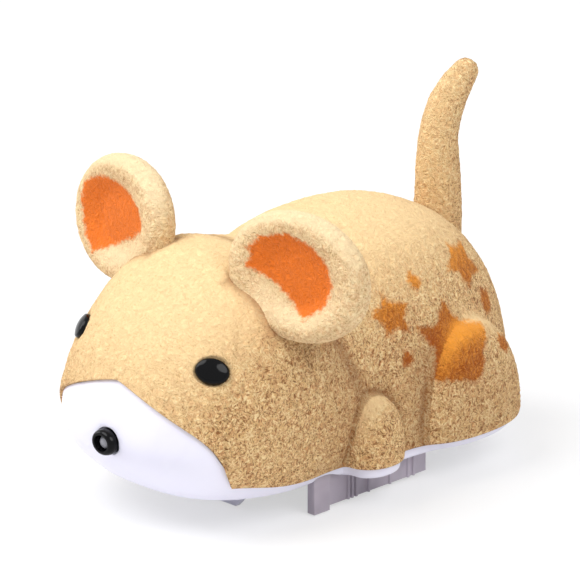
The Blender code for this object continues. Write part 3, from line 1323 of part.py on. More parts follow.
def power_switch():
    """Slide switch under the board and its slider through the floor."""
    half_x, half_y = (size / 2 for size in SWITCH_SIZE)
    middle = BOARD_Y + SWITCH_TRAVEL / 2
    low = FLOOR_TOP_Z + TOUCH_GAP
    body = box((SWITCH_X - half_x, middle - half_y, low), (SWITCH_X + half_x, middle + half_y, BOARD_Z - TOUCH_GAP))
    knob_x, knob_y = (size / 2 for size in SLIDER_SIZE)
    depth = (BOARD_Z - low) * 0.4
    slot_y = knob_y + SWITCH_TRAVEL / 2 + TOUCH_GAP
    slot = box((SWITCH_X - knob_x - TOUCH_GAP, middle - slot_y, low - OVERRUN),
               (SWITCH_X + knob_x + TOUCH_GAP, middle + slot_y, low + depth))
    finish("switch_body", less(body, slot), STEEL)
    pivot = (SWITCH_X, BOARD_Y, HEM_Z)
    slider_empty = joint_empty("switch_slide_axis", pivot)
    slider = box((SWITCH_X - knob_x, BOARD_Y - knob_y, HEM_Z - SLIDER_PROUD),
                 (SWITCH_X + knob_x, BOARD_Y + knob_y, low + depth - TOUCH_GAP))
    finish("switch_slider", slider, BLACK_PLASTIC, pivot, slider_empty, smooth=False)


def screw(place, top_z, points_up):
    """A pan head screw. Its head is at the given height and its shank points up or down."""
    way = 1 if points_up else -1
    head = SCREW_HEAD_HEIGHT
    length = SCREW_LENGTH
    profile = [(0.0, 0.0), (SCREW_HEAD_RADIUS * 0.7, 0.0), (SCREW_HEAD_RADIUS, head * 0.4), (SCREW_HEAD_RADIUS, head),
               (SCREW_RADIUS, head), (SCREW_RADIUS, head + length * 0.85), (0.0, head + length)]
    frame = facing((place[0], place[1], top_z), Vector((0.0, 0.0, way)), Vector((0.0, 1.0, 0.0)))
    return lathe(profile, 8, frame)


def corner_words(places):
    """Each place with the word for its corner."""
    ends = {True: "front", False: "rear"}
    middle = sum(y for _, y in places) / len(places)
    return [((x, y), ("left_" if x > 0 else "right_") + ends[y < middle]) for x, y in places]


def screws():
    """Case screws and pod screws from below, gearbox screws from above."""
    under = HEM_Z - TOUCH_GAP - SCREW_HEAD_HEIGHT
    for place, word in corner_words(post_places()):
        finish("case_screw_" + word, screw(place, under, True), STEEL)
    for place, word in corner_words(tab_screw_places()):
        finish("pod_screw_" + word, screw(place, under, True), STEEL)
    over = DECK_TOP_Z + 2 * TOUCH_GAP + PLATE_THICKNESS + SCREW_HEAD_HEIGHT
    middles = [(low + high) / 2 for low, high in gear_foot_places()]
    places = [(side * foot_screw_x(), y) for y in middles for side in (1, -1)]
    for place, word in corner_words(places):
        finish("gearbox_screw_" + word, screw(place, over, False), STEEL)


def build():
    """Model the whole toy."""
    clear_scene()
    upper_shell()
    lower_tray()
    ears()
    tail_pivot = (0.0, TAIL_Y, tail_surface_z())
    tail(joint_empty("tail_turn_axis", tail_pivot), tail_pivot)
    tail_bush()
    eyes()
    nose()
    drive_pod()
    drive_side(1, "left")
    drive_side(-1, "right")
    front_skid()
    caster()
    circuit_board()
    battery()
    charge_socket()
    power_switch()
    screws()


build()
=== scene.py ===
import json
import math

import bmesh
import bpy
import numpy as np
from bpy.props import FloatProperty, IntProperty, PointerProperty
from mathutils import Matrix, Vector


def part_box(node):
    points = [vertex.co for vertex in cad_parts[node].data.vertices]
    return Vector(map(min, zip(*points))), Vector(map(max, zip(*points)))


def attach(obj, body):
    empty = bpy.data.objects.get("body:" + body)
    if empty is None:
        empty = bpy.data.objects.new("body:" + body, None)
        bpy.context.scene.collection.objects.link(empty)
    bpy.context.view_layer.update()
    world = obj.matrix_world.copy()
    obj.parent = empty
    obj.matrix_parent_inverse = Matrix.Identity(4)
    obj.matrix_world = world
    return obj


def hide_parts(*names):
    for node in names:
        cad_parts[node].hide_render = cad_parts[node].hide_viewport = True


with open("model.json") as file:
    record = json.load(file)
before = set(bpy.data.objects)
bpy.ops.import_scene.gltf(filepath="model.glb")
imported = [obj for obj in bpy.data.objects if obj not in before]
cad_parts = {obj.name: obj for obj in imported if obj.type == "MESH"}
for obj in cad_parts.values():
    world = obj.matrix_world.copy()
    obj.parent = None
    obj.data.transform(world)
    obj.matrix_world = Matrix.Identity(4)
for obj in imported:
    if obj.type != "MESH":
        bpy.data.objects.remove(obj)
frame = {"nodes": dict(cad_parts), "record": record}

bl_info = {
    "name": "Flocked mouse toy",
    "version": (1, 0, 0),
    "blender": (4, 5, 0),
    "location": "View3D > Sidebar > Mouse toy",
    "description": "Builds the looks of a flocked electric mouse toy round its packed parts",
    "category": "Object",
}

MM = 0.001

# Form of the flocked body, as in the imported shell
BODY_PLACE = (0.0, 14.0 * MM, 12.0 * MM)
BODY_HALF_SIZE = (32.0 * MM, 46.0 * MM, 49.0 * MM)
BODY_DROP = 37.0 * MM
BODY_POWERS = (2.25, 2.4)
HEAD_PLACE = (0.0, -23.3 * MM, 22.1 * MM)
HEAD_HALF_SIZE = (31.2 * MM, 36.2 * MM, 39.0 * MM)
HEAD_DROP = 22.7 * MM
HEAD_POWERS = (2.65, 1.71)
NECK_BLEND = 4.0 * MM
NECK_LEAN = 10.0 * MM
NECK_LEAN_LOW_Z = 27.0 * MM
NECK_LEAN_HIGH_Z = 66.0 * MM
NECK_LEAN_FADE = 10.0 * MM
NECK_LEAN_SHARE = 0.45
HAUNCH_PLACE = (28.8 * MM, 27.6 * MM, 12.5 * MM)
HAUNCH_HALF_SIZE = (8.3 * MM, 17.2 * MM, 24.0 * MM)
HAUNCH_DROP = 7.0 * MM
HAUNCH_POWERS = (2.15, 2.15)
HAUNCH_BLEND = 2.0 * MM
PAW_PLACE = (30.0 * MM, -3.0 * MM, 13.0 * MM)
PAW_HALF_SIZE = (6.5 * MM, 7.8 * MM, 13.4 * MM)
PAW_POWERS = (2.1, 2.1)
PAW_BLEND = 1.2 * MM
HEM_Z = 8.0 * MM
BAND_Z = 10.9 * MM
MUZZLE_TOP_Z = 36.3 * MM
MUZZLE_HALF_ANGLE = math.radians(29.85)
MUZZLE_ROUND_POWER = 1.2
MUZZLE_SIDE_POWER = 0.36
CORNER_RISE = 2.5 * MM
CORNER_WIDTH_SHARE = 0.35
FLOCK_DEPTH = 0.8 * MM
WALL = 1.6 * MM
FLOOR_TOP_Z = 9.4 * MM
HEM_ROUND = 0.8 * MM
SEAM_GAP = 0.5 * MM
CENTRE = np.array((0.0, 0.0, HEM_Z))
CAST_REACH = 120.0 * MM
CAST_STEPS = 26
SLOPE_STEP = 0.05 * MM
STEEPNESS_FLOOR = 0.4
TINY = 1e-20

# Grooves where the forms meet, as relief and as painted shade
GROOVE_DEPTH = 0.5 * MM
NECK_GROOVE_FRONT = 2.4 * MM
NECK_GROOVE_REAR = 1.1 * MM
NECK_GROOVE_SHARE = 0.8
LEG_GROOVE = 0.8 * MM
LEG_GROOVE_TOP_Z = 33.0 * MM
LEG_GROOVE_FADE = 9.0 * MM
PAW_GROOVE = 0.7 * MM

# Painted shade on the flock beside the grooves: how far it reaches and where it ends
HOLLOW_SHARE = 0.75
HOLLOW_CLEARANCE = 0.1 * MM
CHEEK_SHADE = 4.4 * MM
CHEEK_SHADE_TOP_Z = 62.0 * MM
CHEEK_SHADE_FADE = 14.0 * MM
CHEEK_SHADE_SHARE = 0.82
HAUNCH_SHADE = 2.6 * MM
HAUNCH_SHADE_TOP_Z = 44.0 * MM
HAUNCH_SHADE_FADE = 12.0 * MM
PAW_SHADE = 1.6 * MM
RUMP_SHADE_TOP_Z = 36.0 * MM
RUMP_SHADE_FADE = 16.0 * MM
RUMP_SHADE_FRONT_Y = 10.0 * MM
RUMP_SHADE_LENGTH = 8.0 * MM
RUMP_SHADE_SHARE = 0.3
EAR_SHADE = 1.7 * MM
EAR_SHADE_OVERLAP = 1.5 * MM

# Painted light on the flock: the way that it faces, and how squarely it has to
PAINTED_LIGHT_WAY = np.array((0.0, -0.25, 0.97))
PAINTED_LIGHT_START = 0.25
PAINTED_LIGHT_RANGE = 0.66

# Pile of the flock
WAVE_SPACING = 4.5 * MM
WAVE_SHARE = 0.45
FINE_TUFT_SHARE = 0.6
EDGE_ROWS = 3.0
EDGE_PILE_SHARE = 0.35
LIP_PILE = 0.15
MERIDIAN_TABLE_SIZE = (360, 180, 260)

# Edge of the flocked shell below its seam: how far down, and how far in
LIP = ((0.24 * MM, 0.12 * MM), (0.38 * MM, 0.5 * MM), (0.40 * MM, 1.1 * MM), (0.36 * MM, 1.9 * MM))

# Stars and dots of both flanks, seen from the side as (y, z) in millimetres
MARKS = (
    ((32.5, 51.5), (35, 50), (39.5, 49.5), (39, 46.5), (42, 43), (37.5, 43.5), (34.5, 42), (32.5, 44),
     (32, 45.5), (28, 47.5), (30.5, 48.5), (31.5, 49.5)),
    ((22.5, 42.5), (24, 40), (24.5, 38.5), (26, 37), (31.5, 35.5), (31, 32.5), (28.5, 30.5), (27.5, 26),
     (25.5, 24), (18, 25.5), (14, 26), (15.5, 29.5), (16.5, 32.5), (14.5, 35), (12.5, 38.5),
     (18.5, 37.5), (20.5, 39.5)),
    ((5, 47.5), (6.5, 45.5), (11.5, 44), (9.5, 41.5), (10, 38), (7, 39.5), (3, 38.5), (3.5, 41), (0.5, 43.5),
     (2, 44.5), (4.5, 45)),
    ((16, 50), (18, 47.5), (16.5, 46), (15, 46.5), (14, 48.5)),
    ((39, 40), (42.5, 38.5), (42.5, 35.5), (41, 34), (38.5, 34.5), (37.5, 37.5)),
    ((36, 32), (38.5, 30.5), (39, 28.5), (37, 27.5), (35, 28.5), (34.5, 31)),
    ((7, 34.5), (8.5, 34), (10, 32), (8.5, 30.5), (6.5, 31)),
)
MARKS_INNER_X = 8.0 * MM
MARKS_FRONT_Y = -5.0 * MM
FAR_OUTSIDE = -20.0

# Ears
EAR_PLACE = (28.35 * MM, -25.33 * MM, 60.43 * MM)
EAR_RADIUS = 18.6 * MM
EAR_HEIGHT_SHARE = 0.8
EAR_THICKNESS = 7.0 * MM
EAR_DISH_DEPTH = 2.3 * MM
EAR_FACING = (0.214, -0.969, 0.12)
EAR_RISING = (0.095, 0.143, 0.985)
EAR_DISH_RADIUS = 7.0 * MM
EAR_BURY = 0.6 * MM
EAR_ROWS = 74
EAR_PILE_SHARE = 0.8
EAR_CALM_RADIUS = 8.0 * MM
EAR_CALM_FADE = 5.0 * MM
EAR_CALM_SHARE = 0.25
WELD_DISTANCE = 0.002 * MM

# Orange patches in the ears' own planes in millimetres, x outward and y up. The two differ
LEFT_PATCH = ((-12.9, 3.3), (-10.2, 7.3), (-3.7, 9.7), (2.8, 8.7), (7.6, 5.6), (9.9, 0.8), (8.9, -4.4),
              (4.2, -8.7), (1.8, -7.3), (-1.5, -4.7), (-6.1, -2.5), (-10.5, -1.5), (-12.7, -0.9),
              (-11.8, 1.5))
RIGHT_PATCH = ((8.3, -9.1), (12.0, -5.3), (13.6, -0.6), (13.9, 2.8), (12.9, 6.6), (10.1, 8.2), (5.3, 9.2),
               (0.3, 8.3), (-4.1, 6.5), (-7.8, 3.2), (-9.7, 0.4), (-9.9, -1.8), (-2.7, -4.7), (4.2, -7.4))

# Tail
TAIL_Y = 48.96 * MM
TAIL_FOOT_Z = 35.1 * MM
TAIL_SURFACE_Z = 48.1 * MM
TAIL_ROOT_RADIUS = 5.8 * MM
TAIL_RADIUS_SHARES = (1.0, 1.0, 0.9, 0.78, 0.74, 0.64, 0.53)
TAIL_WAY_SHARES = (0.0, 0.25, 0.52, 0.70, 0.84, 0.94, 1.0)
TAIL_STRAIGHT = 31.6 * MM
TAIL_BEND_RADIUS = 19.0 * MM
TAIL_BEND_ANGLE = math.radians(50.0)
TAIL_END_LENGTH = 2.93 * MM
TAIL_SLEEVE_RADIUS = 6.15 * MM
TAIL_SLEEVE_STEEPNESS = 0.9
TAIL_CENTRE = np.array((0.0, TAIL_Y))
TAIL_SEAT_DEPTH = 4.6 * MM
TAIL_SEAT_FADE = 1.5 * MM
TAIL_FIT = 0.1 * MM
TAIL_ROWS = 130
TAIL_COLUMNS = 96
TAIL_PILE_SHARE = 0.85

# Face
EYE_AZIMUTH = math.radians(24.8)
EYE_ELEVATION = math.radians(33.2)
EYE_RADIUS = 4.0 * MM
EYE_HEIGHT_SHARE = 0.82
EYE_DOME = 1.6 * MM
EYE_SINK = 1.4 * MM
EYE_LEAN = 0.24
EYE_SQUASH_SHARE = 0.93
EYE_SETTLE = 0.5 * MM
EYE_RIM_DROP = 0.45 * MM
EYE_RIM_RISE = 0.05 * MM
EYE_SHOULDER_SHARE = 0.62
EYE_SHOULDER_ANGLE = math.radians(58.0)
EYE_NEST_SHARE = 1.12
EYE_NEST_EDGE_SHARE = 0.16
EYE_NEST_DEPTH = 0.75 * MM
EYE_NEST_REACH = 6.0 * MM
NOSE_Z = 22.0 * MM
NOSE_FRONT_Y = -60.8 * MM
NOSE_RADIUS = 3.5 * MM
NOSE_HEIGHT_SHARE = 0.88
NOSE_LENGTH = 3.3 * MM
LENS_RADIUS = 1.5 * MM
LENS_DOME = 0.75 * MM
LENS_TIP = 0.76 * MM
NOSE_LIP_DROP = 0.05 * MM
NOSE_FUNNEL_DROP = 0.28 * MM
SENSOR_HOLE_RADIUS = 2.5 * MM

# Running gear
AXLE_Y = -3.0 * MM
WHEEL_RADIUS = 10.0 * MM
TYRE_THICKNESS = 1.7 * MM
WHEEL_WIDTH = 5.0 * MM
WHEEL_INNER_X = 11.0 * MM
SHAFT_RADIUS = 1.0 * MM
BORE_GAP = 0.1 * MM
TYRE_SEAT_GAP = 0.2 * MM
TREAD_STEPS = 48
TREAD_DEPTH = 0.35 * MM
TREAD_SLANT = 25.0
TREAD_GROOVE = 0.22 * MM
TREAD_ROUND = 0.12 * MM
HUB_OPENINGS = 5
WHEEL_WELL_GAP = 0.4 * MM
WHEEL_WELL_OUTER_X = 24.3 * MM
POD_FRONT_Y = -19.1 * MM
POD_REAR_Y = 18.5 * MM
POD_OUTER_X = 26.0 * MM
SKIRT_THICKNESS = 1.2 * MM
SKIRT_CLEAR_Z = 1.0 * MM
FOOT_LENGTH = 5.0 * MM
FOOT_PROUD = 1.0 * MM
FOOT_CLEAR_Z = 0.4 * MM
RIB_PLACES = (-7.3 * MM, -6.0 * MM, -4.7 * MM, -0.6 * MM, 6.4 * MM, 12.4 * MM, 14.2 * MM)
RIB_WIDTH = 0.7 * MM
RIB_HEIGHT = 0.5 * MM
DECK_LOW_Z = 9.7 * MM
DECK_HIGH_Z = 10.7 * MM
KEEL_HALF_WIDTH = 10.3 * MM
KEEL_FRONT_Y = -8.0 * MM
KEEL_REAR_Y = 17.0 * MM
KEEL_CLEAR_Z = 1.5 * MM
KEEL_WALL = 1.5 * MM
TAB_LENGTH = 5.0 * MM
TAB_HALF_WIDTH = 12.7 * MM
TAB_SCREW_X = 10.0 * MM
BOSS_RADIUS = 2.08 * MM
BOSS_HEIGHT = 2.4 * MM
LAP = 0.5 * MM
SKID_Y = -27.3 * MM
SKID_HALF_WIDTH = 12.0 * MM
SKID_THICKNESS = 1.6 * MM
SKID_CLEAR_Z = 0.5 * MM
SKID_TAB_WIDTH = 4.0 * MM
SKID_TAB_PLACE = 6.0 * MM
CASTER_Y = 40.0 * MM
HOUSING_RADIUS = 9.8 * MM
HOUSING_WALL = 1.3 * MM
HOUSING_TOP_Z = 14.6 * MM
HOUSING_LAP = 0.2 * MM
CASTER_PIN_HOLE_RADIUS = 1.7 * MM
BOARD_Y = 23.4 * MM
BOARD_Z = 14.0 * MM
BOARD_POST_PLACE = (6.3 * MM, POD_REAR_Y + TAB_LENGTH + 2.9 * MM)
BOARD_POST_RADIUS = 1.82 * MM
BOARD_POST_LAP = 0.7 * MM
POD_OPENING_CORNER = 1.0 * MM
SOCKET_X = 18.0 * MM
SOCKET_SIZE = (9.0 * MM, 3.3 * MM)
SWITCH_X = -18.0 * MM
SWITCH_TRAVEL = 2.5 * MM
SLIDER_SIZE = (2.0 * MM, 2.5 * MM)
SLOT_CORNER = 0.3 * MM
SCREW_RADIUS = 0.9 * MM
SCREW_HEAD_RADIUS = 1.9 * MM
SCREW_HEAD_HEIGHT = 0.8 * MM
SCREW_TURNS = 7
SCREW_CROSS_DEPTH = 0.42 * MM
SCREW_HEAD_SHARES = ((0.55, 0.025), (0.82, 0.15), (0.96, 0.425), (1.0, 0.6), (1.0, 1.0))
FRONT_POST_PLACE = (9.0 * MM, -36.0 * MM)
REAR_POST_PLACE = (17.0 * MM, 44.0 * MM)
GAP = 0.3 * MM
OVERRUN = 5.0 * MM
BAKE_MARGIN = 0.01

# Edge rounding of the moulded pieces
TRAY_EDGE = 0.18 * MM
POD_EDGE = 0.16 * MM
SKID_EDGE = 0.3 * MM
HUB_EDGE = 0.1 * MM
EDGE_MIN_ANGLE = math.radians(35.0)

# Stage
FLOOR_HALF = 3.0
LAMP_AIM_Z = 35.0 * MM
KEY_LAMP_PLACE = (-0.26, -0.42, 0.80)
FILL_LAMP_PLACE = (0.58, -0.06, 0.62)
SIDE_LAMP_PLACE = (-0.78, -0.30, 0.34)
BACK_LAMP_PLACE = (-0.1, 0.7, 0.6)
KEY_LAMP_SIZE = 0.7
SMALL_LAMP_SIZE = 0.5
VIEW_AIM_Z = 43.5 * MM
VIEW_AZIMUTH = math.radians(45.0)
VIEW_ELEVATION = math.radians(19.9)
SENSOR_WIDTH = 36.0

# Colours, linear
FLOCK_TIP = (1.0, 0.765, 0.41)
FLOCK_FIBRE = (0.80, 0.50, 0.22)
# Colour of the gaps between fibres; painted shade darkens the flock towards it too
FLOCK_GAP = (0.29, 0.12, 0.042)
# Painted light: the pale colour of body flock that faces up and forward
FLOCK_LIT = (0.95, 0.70, 0.38)
EAR_TIP = (1.0, 0.765, 0.435)
EAR_FIBRE = (0.87, 0.60, 0.30)
EAR_GAP = (0.44, 0.235, 0.095)
# Painted light: the pale colour of ear flock that faces up and forward
EAR_LIT = (0.93, 0.74, 0.46)
# Lit and shaded copies of the ear patches' orange, mixed by painted light and painted shade
PATCH_ORANGE = (0.88, 0.175, 0.005)
PATCH_SHADED = (0.70, 0.125, 0.003)
# Lit and shaded copies of the stars' orange, mixed by painted light and painted shade
STAR_ORANGE = (0.90, 0.33, 0.03)
STAR_SHADED = (0.37, 0.078, 0.004)
MUZZLE_WHITE = (0.80, 0.785, 0.89)
POD_GREY = (0.55, 0.49, 0.56)


# Form

def fade_in(value, start, reach):
    """None up to start, and growing evenly to one over reach."""
    return np.clip((value - start) / reach, 0.0, 1.0)


def fade_out(value, end, reach):
    """One until reach before end, and falling evenly to none at end."""
    return np.clip((end - value) / reach, 0.0, 1.0)


def eased(share):
    """A share whose start and end are soft."""
    return share * share * (3 - 2 * share)


def blend(first, second, width):
    """Smooth union of two forms."""
    mix = np.clip(0.5 + 0.5 * (second - first) / width, 0.0, 1.0)
    return second * (1 - mix) + first * mix - width * mix * (1 - mix)


def parts_of(points, place, half_size, drop):
    """Distances from a place, as shares of the half sizes."""
    offset = points - np.array(place)
    height = np.where(offset[..., 2] > 0, half_size[2], drop)
    across = np.abs(offset[..., 0]) / half_size[0]
    along = np.abs(offset[..., 1]) / half_size[1]
    return across, along, np.abs(offset[..., 2]) / height


def oval(points, place, half_size, drop, powers):
    """Below zero inside a rounded box whose lower half is drop high."""
    across, along, up = parts_of(points, place, half_size, drop)
    plan_power, side_power = powers
    plan = (across ** plan_power + along ** plan_power) ** (side_power / plan_power)
    return ((plan + up ** side_power) ** (1 / side_power) - 1) * min(half_size)


def wedge(points, place, half_size, drop, powers):
    """As oval, with its round outline seen from the side and flat cheeks."""
    across, along, up = parts_of(points, place, half_size, drop)
    plan_power, side_power = powers
    profile = (along ** side_power + up ** side_power) ** (plan_power / side_power)
    return ((profile + across ** plan_power) ** (1 / plan_power) - 1) * min(half_size)


def folded_over(points):
    """The points with the right side mirrored to the left, where the forms are described."""
    folded = np.array(points)
    folded[..., 0] = np.abs(folded[..., 0])
    return folded


def trunk_forms(folded):
    """Body and head, each below zero inside."""
    body = oval(folded, BODY_PLACE, BODY_HALF_SIZE, BODY_DROP, BODY_POWERS)
    return body, wedge(folded, HEAD_PLACE, HEAD_HALF_SIZE, HEAD_DROP, HEAD_POWERS)


def leg_forms(folded):
    """Haunch and paw, each below zero inside."""
    haunch = oval(folded, HAUNCH_PLACE, HAUNCH_HALF_SIZE, HAUNCH_DROP, HAUNCH_POWERS)
    return haunch, oval(folded, PAW_PLACE, PAW_HALF_SIZE, PAW_HALF_SIZE[2], PAW_POWERS)


def body_form(points):
    """Below zero inside the body with its head, haunches and paws."""
    folded = folded_over(points)
    haunch, paw = leg_forms(folded)
    form = blend(blend(*trunk_forms(folded), NECK_BLEND), haunch, HAUNCH_BLEND)
    return blend(form, paw, PAW_BLEND)


def cast(origin, direction):
    """Where rays from inside meet the body, by halving."""
    near = np.zeros(direction.shape[:-1])
    far = np.full(direction.shape[:-1], CAST_REACH)
    for _ in range(CAST_STEPS):
        middle = (near + far) / 2
        inside = body_form(origin + direction * middle[..., None]) < 0
        near = np.where(inside, middle, near)
        far = np.where(inside, far, middle)
    return origin + direction * near[..., None]


def slope(points):
    """Outward unit normals of the body."""
    steps = np.eye(3) * SLOPE_STEP
    rise = [body_form(points + step) - body_form(points - step) for step in steps]
    normal = np.stack(rise, axis=-1)
    return normal / np.linalg.norm(normal, axis=-1, keepdims=True)


def directions(azimuth, elevation):
    """Unit vectors. Azimuth zero looks forward along -Y and grows towards +X."""
    flat = np.cos(elevation)
    return np.stack((np.sin(azimuth) * flat, -np.cos(azimuth) * flat, np.sin(elevation)), axis=-1)


def seam_height(azimuth):
    """Height of the edge between flock and white tray."""
    turned = np.abs((azimuth + np.pi) % (2 * np.pi) - np.pi) / MUZZLE_HALF_ANGLE
    bulge = np.clip(1 - turned ** MUZZLE_ROUND_POWER, 0.0, 1.0) ** MUZZLE_SIDE_POWER
    low = BAND_Z + CORNER_RISE * np.exp(-((turned - 1) / CORNER_WIDTH_SHARE) ** 2)
    return low + (MUZZLE_TOP_Z - low) * bulge


def level_ring(azimuth, height, inset):
    """Points of the body at given heights, cast straight out from the middle axis and moved in."""
    origin = np.zeros(azimuth.shape + (3,))
    origin[..., 2] = height
    points = cast(origin, directions(azimuth, 0 * azimuth))
    normal = slope(points)
    normal[..., 2] = 0.0
    steepness = np.sum(normal ** 2, axis=-1, keepdims=True)
    inset = np.asarray(inset)[..., None] if np.ndim(inset) else inset
    return points - normal * inset / np.maximum(steepness, STEEPNESS_FLOOR)


def surface_point(azimuth, elevation):
    """A point of the body and the outward direction there."""
    ray = directions(np.array([azimuth]), np.array([elevation]))
    points = cast(CENTRE, ray)
    return Vector(points[0]), Vector(slope(points)[0])


def facing(place, outward, upward=(0.0, 0.0, 1.0)):
    """A matrix whose local Z points outward and whose local Y leans upward, set at a place."""
    z_axis = Vector(outward).normalized()
    y_axis = (Vector(upward) - z_axis * z_axis.dot(Vector(upward))).normalized()
    x_axis = y_axis.cross(z_axis)
    turn = Matrix((x_axis, y_axis, z_axis)).transposed().to_4x4()
    return Matrix.Translation(Vector(place)) @ turn


def moved(matrix, points):
    """An array of points under a matrix."""
    turn = np.array(matrix)
    return points @ turn[:3, :3].T + turn[:3, 3]


# Flock

def cell_noise(cells, seed):
    """Three even random numbers for each cell of whole numbers."""
    cells = cells.astype(np.int64)
    mixed = cells[..., 0] * 73856093 ^ cells[..., 1] * 19349663 ^ cells[..., 2] * 83492791 ^ seed * 2654435761
    found = []
    for turn in (1, 2, 3):
        value = (mixed + turn * 40503) & 0xFFFFFFFF
        value = ((value >> 16) ^ value) * 0x45D9F3B & 0xFFFFFFFF
        value = ((value >> 16) ^ value) * 0x45D9F3B & 0xFFFFFFFF
        found.append(((value >> 16) ^ value) / 0xFFFFFFFF)
    return np.stack(found, axis=-1)


def tufts(points, spacing, seed):
    """How near each point is to the middle of its own tuft, and a random number of that tuft."""
    scaled = points / spacing
    base = np.floor(scaled)
    best = np.full(points.shape[:-1], 9.0)
    own = np.zeros(points.shape[:-1])
    for x in (-1, 0, 1):
        for y in (-1, 0, 1):
            for z in (-1, 0, 1):
                cell = base + (x, y, z)
                random = cell_noise(cell, seed)
                distance = np.linalg.norm(cell + random - scaled, axis=-1)
                closer = distance < best
                best = np.where(closer, distance, best)
                own = np.where(closer, random[..., 0], own)
    return np.clip(1 - best, 0.0, 1.0), own


def soft_noise(points, spacing, seed):
    """Smooth noise between -1 and 1."""
    scaled = points / spacing
    base = np.floor(scaled)
    part = scaled - base
    part = eased(part)
    total = np.zeros(points.shape[:-1])
    for x in (0, 1):
        for y in (0, 1):
            for z in (0, 1):
                random = cell_noise(base + (x, y, z), seed)[..., 0]
                weight = (part[..., 0] if x else 1 - part[..., 0])
                weight = weight * (part[..., 1] if y else 1 - part[..., 1])
                weight = weight * (part[..., 2] if z else 1 - part[..., 2])
                total += random * weight
    return total * 2 - 1


def pile_height(points):
    """Height of the flock's tips, about -1 to 1."""
    spacing = bpy.context.scene.mouse_flock.tuft_spacing
    coarse, own = tufts(points, spacing, 3)
    fine, _ = tufts(points, spacing * FINE_TUFT_SHARE, 7)
    return (coarse * 1.1 + own * 0.5 + fine * 0.7) - 1.1


def pile_field(points):
    """Height of the flock's tips as a share."""
    return np.clip(0.5 + pile_height(points) * 0.5, 0.0, 1.0)


def flock_offset(points, amount):
    """Outward offset of flocked points, with slow waves from the dipping."""
    return pile_height(points) * amount + soft_noise(points, WAVE_SPACING, 11) * amount * WAVE_SHARE


# Mesh helpers

def disc_grid(half):
    """A square grid laid over a disc: share of the way to the edge, turn, square place and quads."""
    steps = np.arange(-half, half + 1) / half
    a, b = np.meshgrid(steps, steps, indexing="ij")
    wide = np.abs(a) > np.abs(b)
    reach = np.where(wide, a, b)
    safe_a = np.where(a == 0, 1.0, a)
    safe_b = np.where(b == 0, 1.0, b)
    turn = np.where(wide, (np.pi / 4) * b / safe_a, np.pi / 2 - (np.pi / 4) * a / safe_b)
    turn = np.where(reach < 0, turn + np.pi, turn)
    count = 2 * half + 1
    index = np.arange(count * count).reshape(count, count)
    quads = np.stack((index[:-1, :-1], index[1:, :-1], index[1:, 1:], index[:-1, 1:]), -1)
    square = np.stack((a, b), -1).reshape(-1, 2)
    return np.abs(reach).ravel(), turn.ravel(), square, quads.reshape(-1, 4)


def tube_grid(rows, columns):
    """Quads of a tube of rows of points, closed round its columns."""
    index = np.arange(rows * columns).reshape(rows, columns)
    after = np.roll(index, -1, axis=1)
    quads = np.stack((index[:-1], after[:-1], after[1:], index[1:]), -1)
    return quads.reshape(-1, 4)


def add_piece(name, points, faces, material, uv=None, fields=None, smooth_angle=None):
    """A mesh object from arrays in the toy's frame, with its bake map and point fields."""
    mesh = bpy.data.meshes.new(name)
    faces = [tuple(int(i) for i in face) for face in faces]
    mesh.from_pydata(np.asarray(points).tolist(), [], faces)
    mesh.materials.append(material)
    mesh.shade_smooth()
    if smooth_angle is not None:
        mesh.set_sharp_from_angle(angle=math.radians(smooth_angle))
    for field, values in (fields or {}).items():
        layer = mesh.attributes.new(field, "FLOAT", "POINT")
        layer.data.foreach_set("value", np.asarray(values, dtype=np.float32))
    if uv is not None:
        layer = mesh.uv_layers.new(name="OFBake")
        corners = np.empty(len(mesh.loops), dtype=np.int32)
        mesh.loops.foreach_get("vertex_index", corners)
        layer.data.foreach_set("uv", np.asarray(uv, dtype=np.float32)[corners].ravel())
    mesh.validate()
    item = bpy.data.objects.new(name, mesh)
    bpy.context.collection.objects.link(item)
    return item


def place_piece(item, body, slot, *nodes):
    """The piece rides a body and stands for its nodes. Its slot is not used."""
    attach(item, body)
    if nodes:
        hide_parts(*nodes)
    return item


# Solids that are cut and joined

def box(low, high):
    """A box between two corners."""
    shape = bmesh.new()
    bmesh.ops.create_cube(shape, size=1.0)
    bmesh.ops.scale(shape, vec=Vector(high) - Vector(low), verts=shape.verts)
    bmesh.ops.translate(shape, vec=(Vector(high) + Vector(low)) / 2, verts=shape.verts)
    return shape


def prism(outline, low, high, axis="Z"):
    """A flat outline pushed along an axis. X prisms take (y, z), Y prisms (x, z), Z prisms (x, y)."""
    shape = bmesh.new()
    make = {"X": lambda a, b: (low, a, b), "Y": lambda a, b: (a, low, b), "Z": lambda a, b: (a, b, low)}[axis]
    step = {"X": (high - low, 0.0, 0.0), "Y": (0.0, high - low, 0.0), "Z": (0.0, 0.0, high - low)}[axis]
    face = shape.faces.new([shape.verts.new(make(a, b)) for a, b in outline])
    pushed = bmesh.ops.extrude_face_region(shape, geom=[face])
    lifted = [part for part in pushed["geom"] if isinstance(part, bmesh.types.BMVert)]
    bmesh.ops.translate(shape, vec=step, verts=lifted)
    bmesh.ops.recalc_face_normals(shape, faces=shape.faces)
    return shape


def circle(centre, radius, count, turn=0.0):
    """Points round a circle in a plane."""
    angles = [turn + 2 * math.pi * i / count for i in range(count)]
    return [(centre[0] + radius * math.cos(a), centre[1] + radius * math.sin(a)) for a in angles]


def rounded_outline(half_x, half_y, radius, corner_points=5, centre=(0.0, 0.0)):
    """A rectangle with round corners."""
    points = []
    corners = ((1, 1, 0.0), (-1, 1, 0.5), (-1, -1, 1.0), (1, -1, 1.5))
    for sign_x, sign_y, start in corners:
        for i in range(corner_points):
            angle = math.pi * (start + 0.5 * i / (corner_points - 1))
            x = centre[0] + sign_x * (half_x - radius) + radius * math.cos(angle)
            y = centre[1] + sign_y * (half_y - radius) + radius * math.sin(angle)
            points.append((x, y))
    return points


def rod(low, high, radius, place, axis="Z", count=32):
    """A round rod along an axis, at a place in the plane across it."""
    return prism(circle(place, radius, count), low, high, axis)


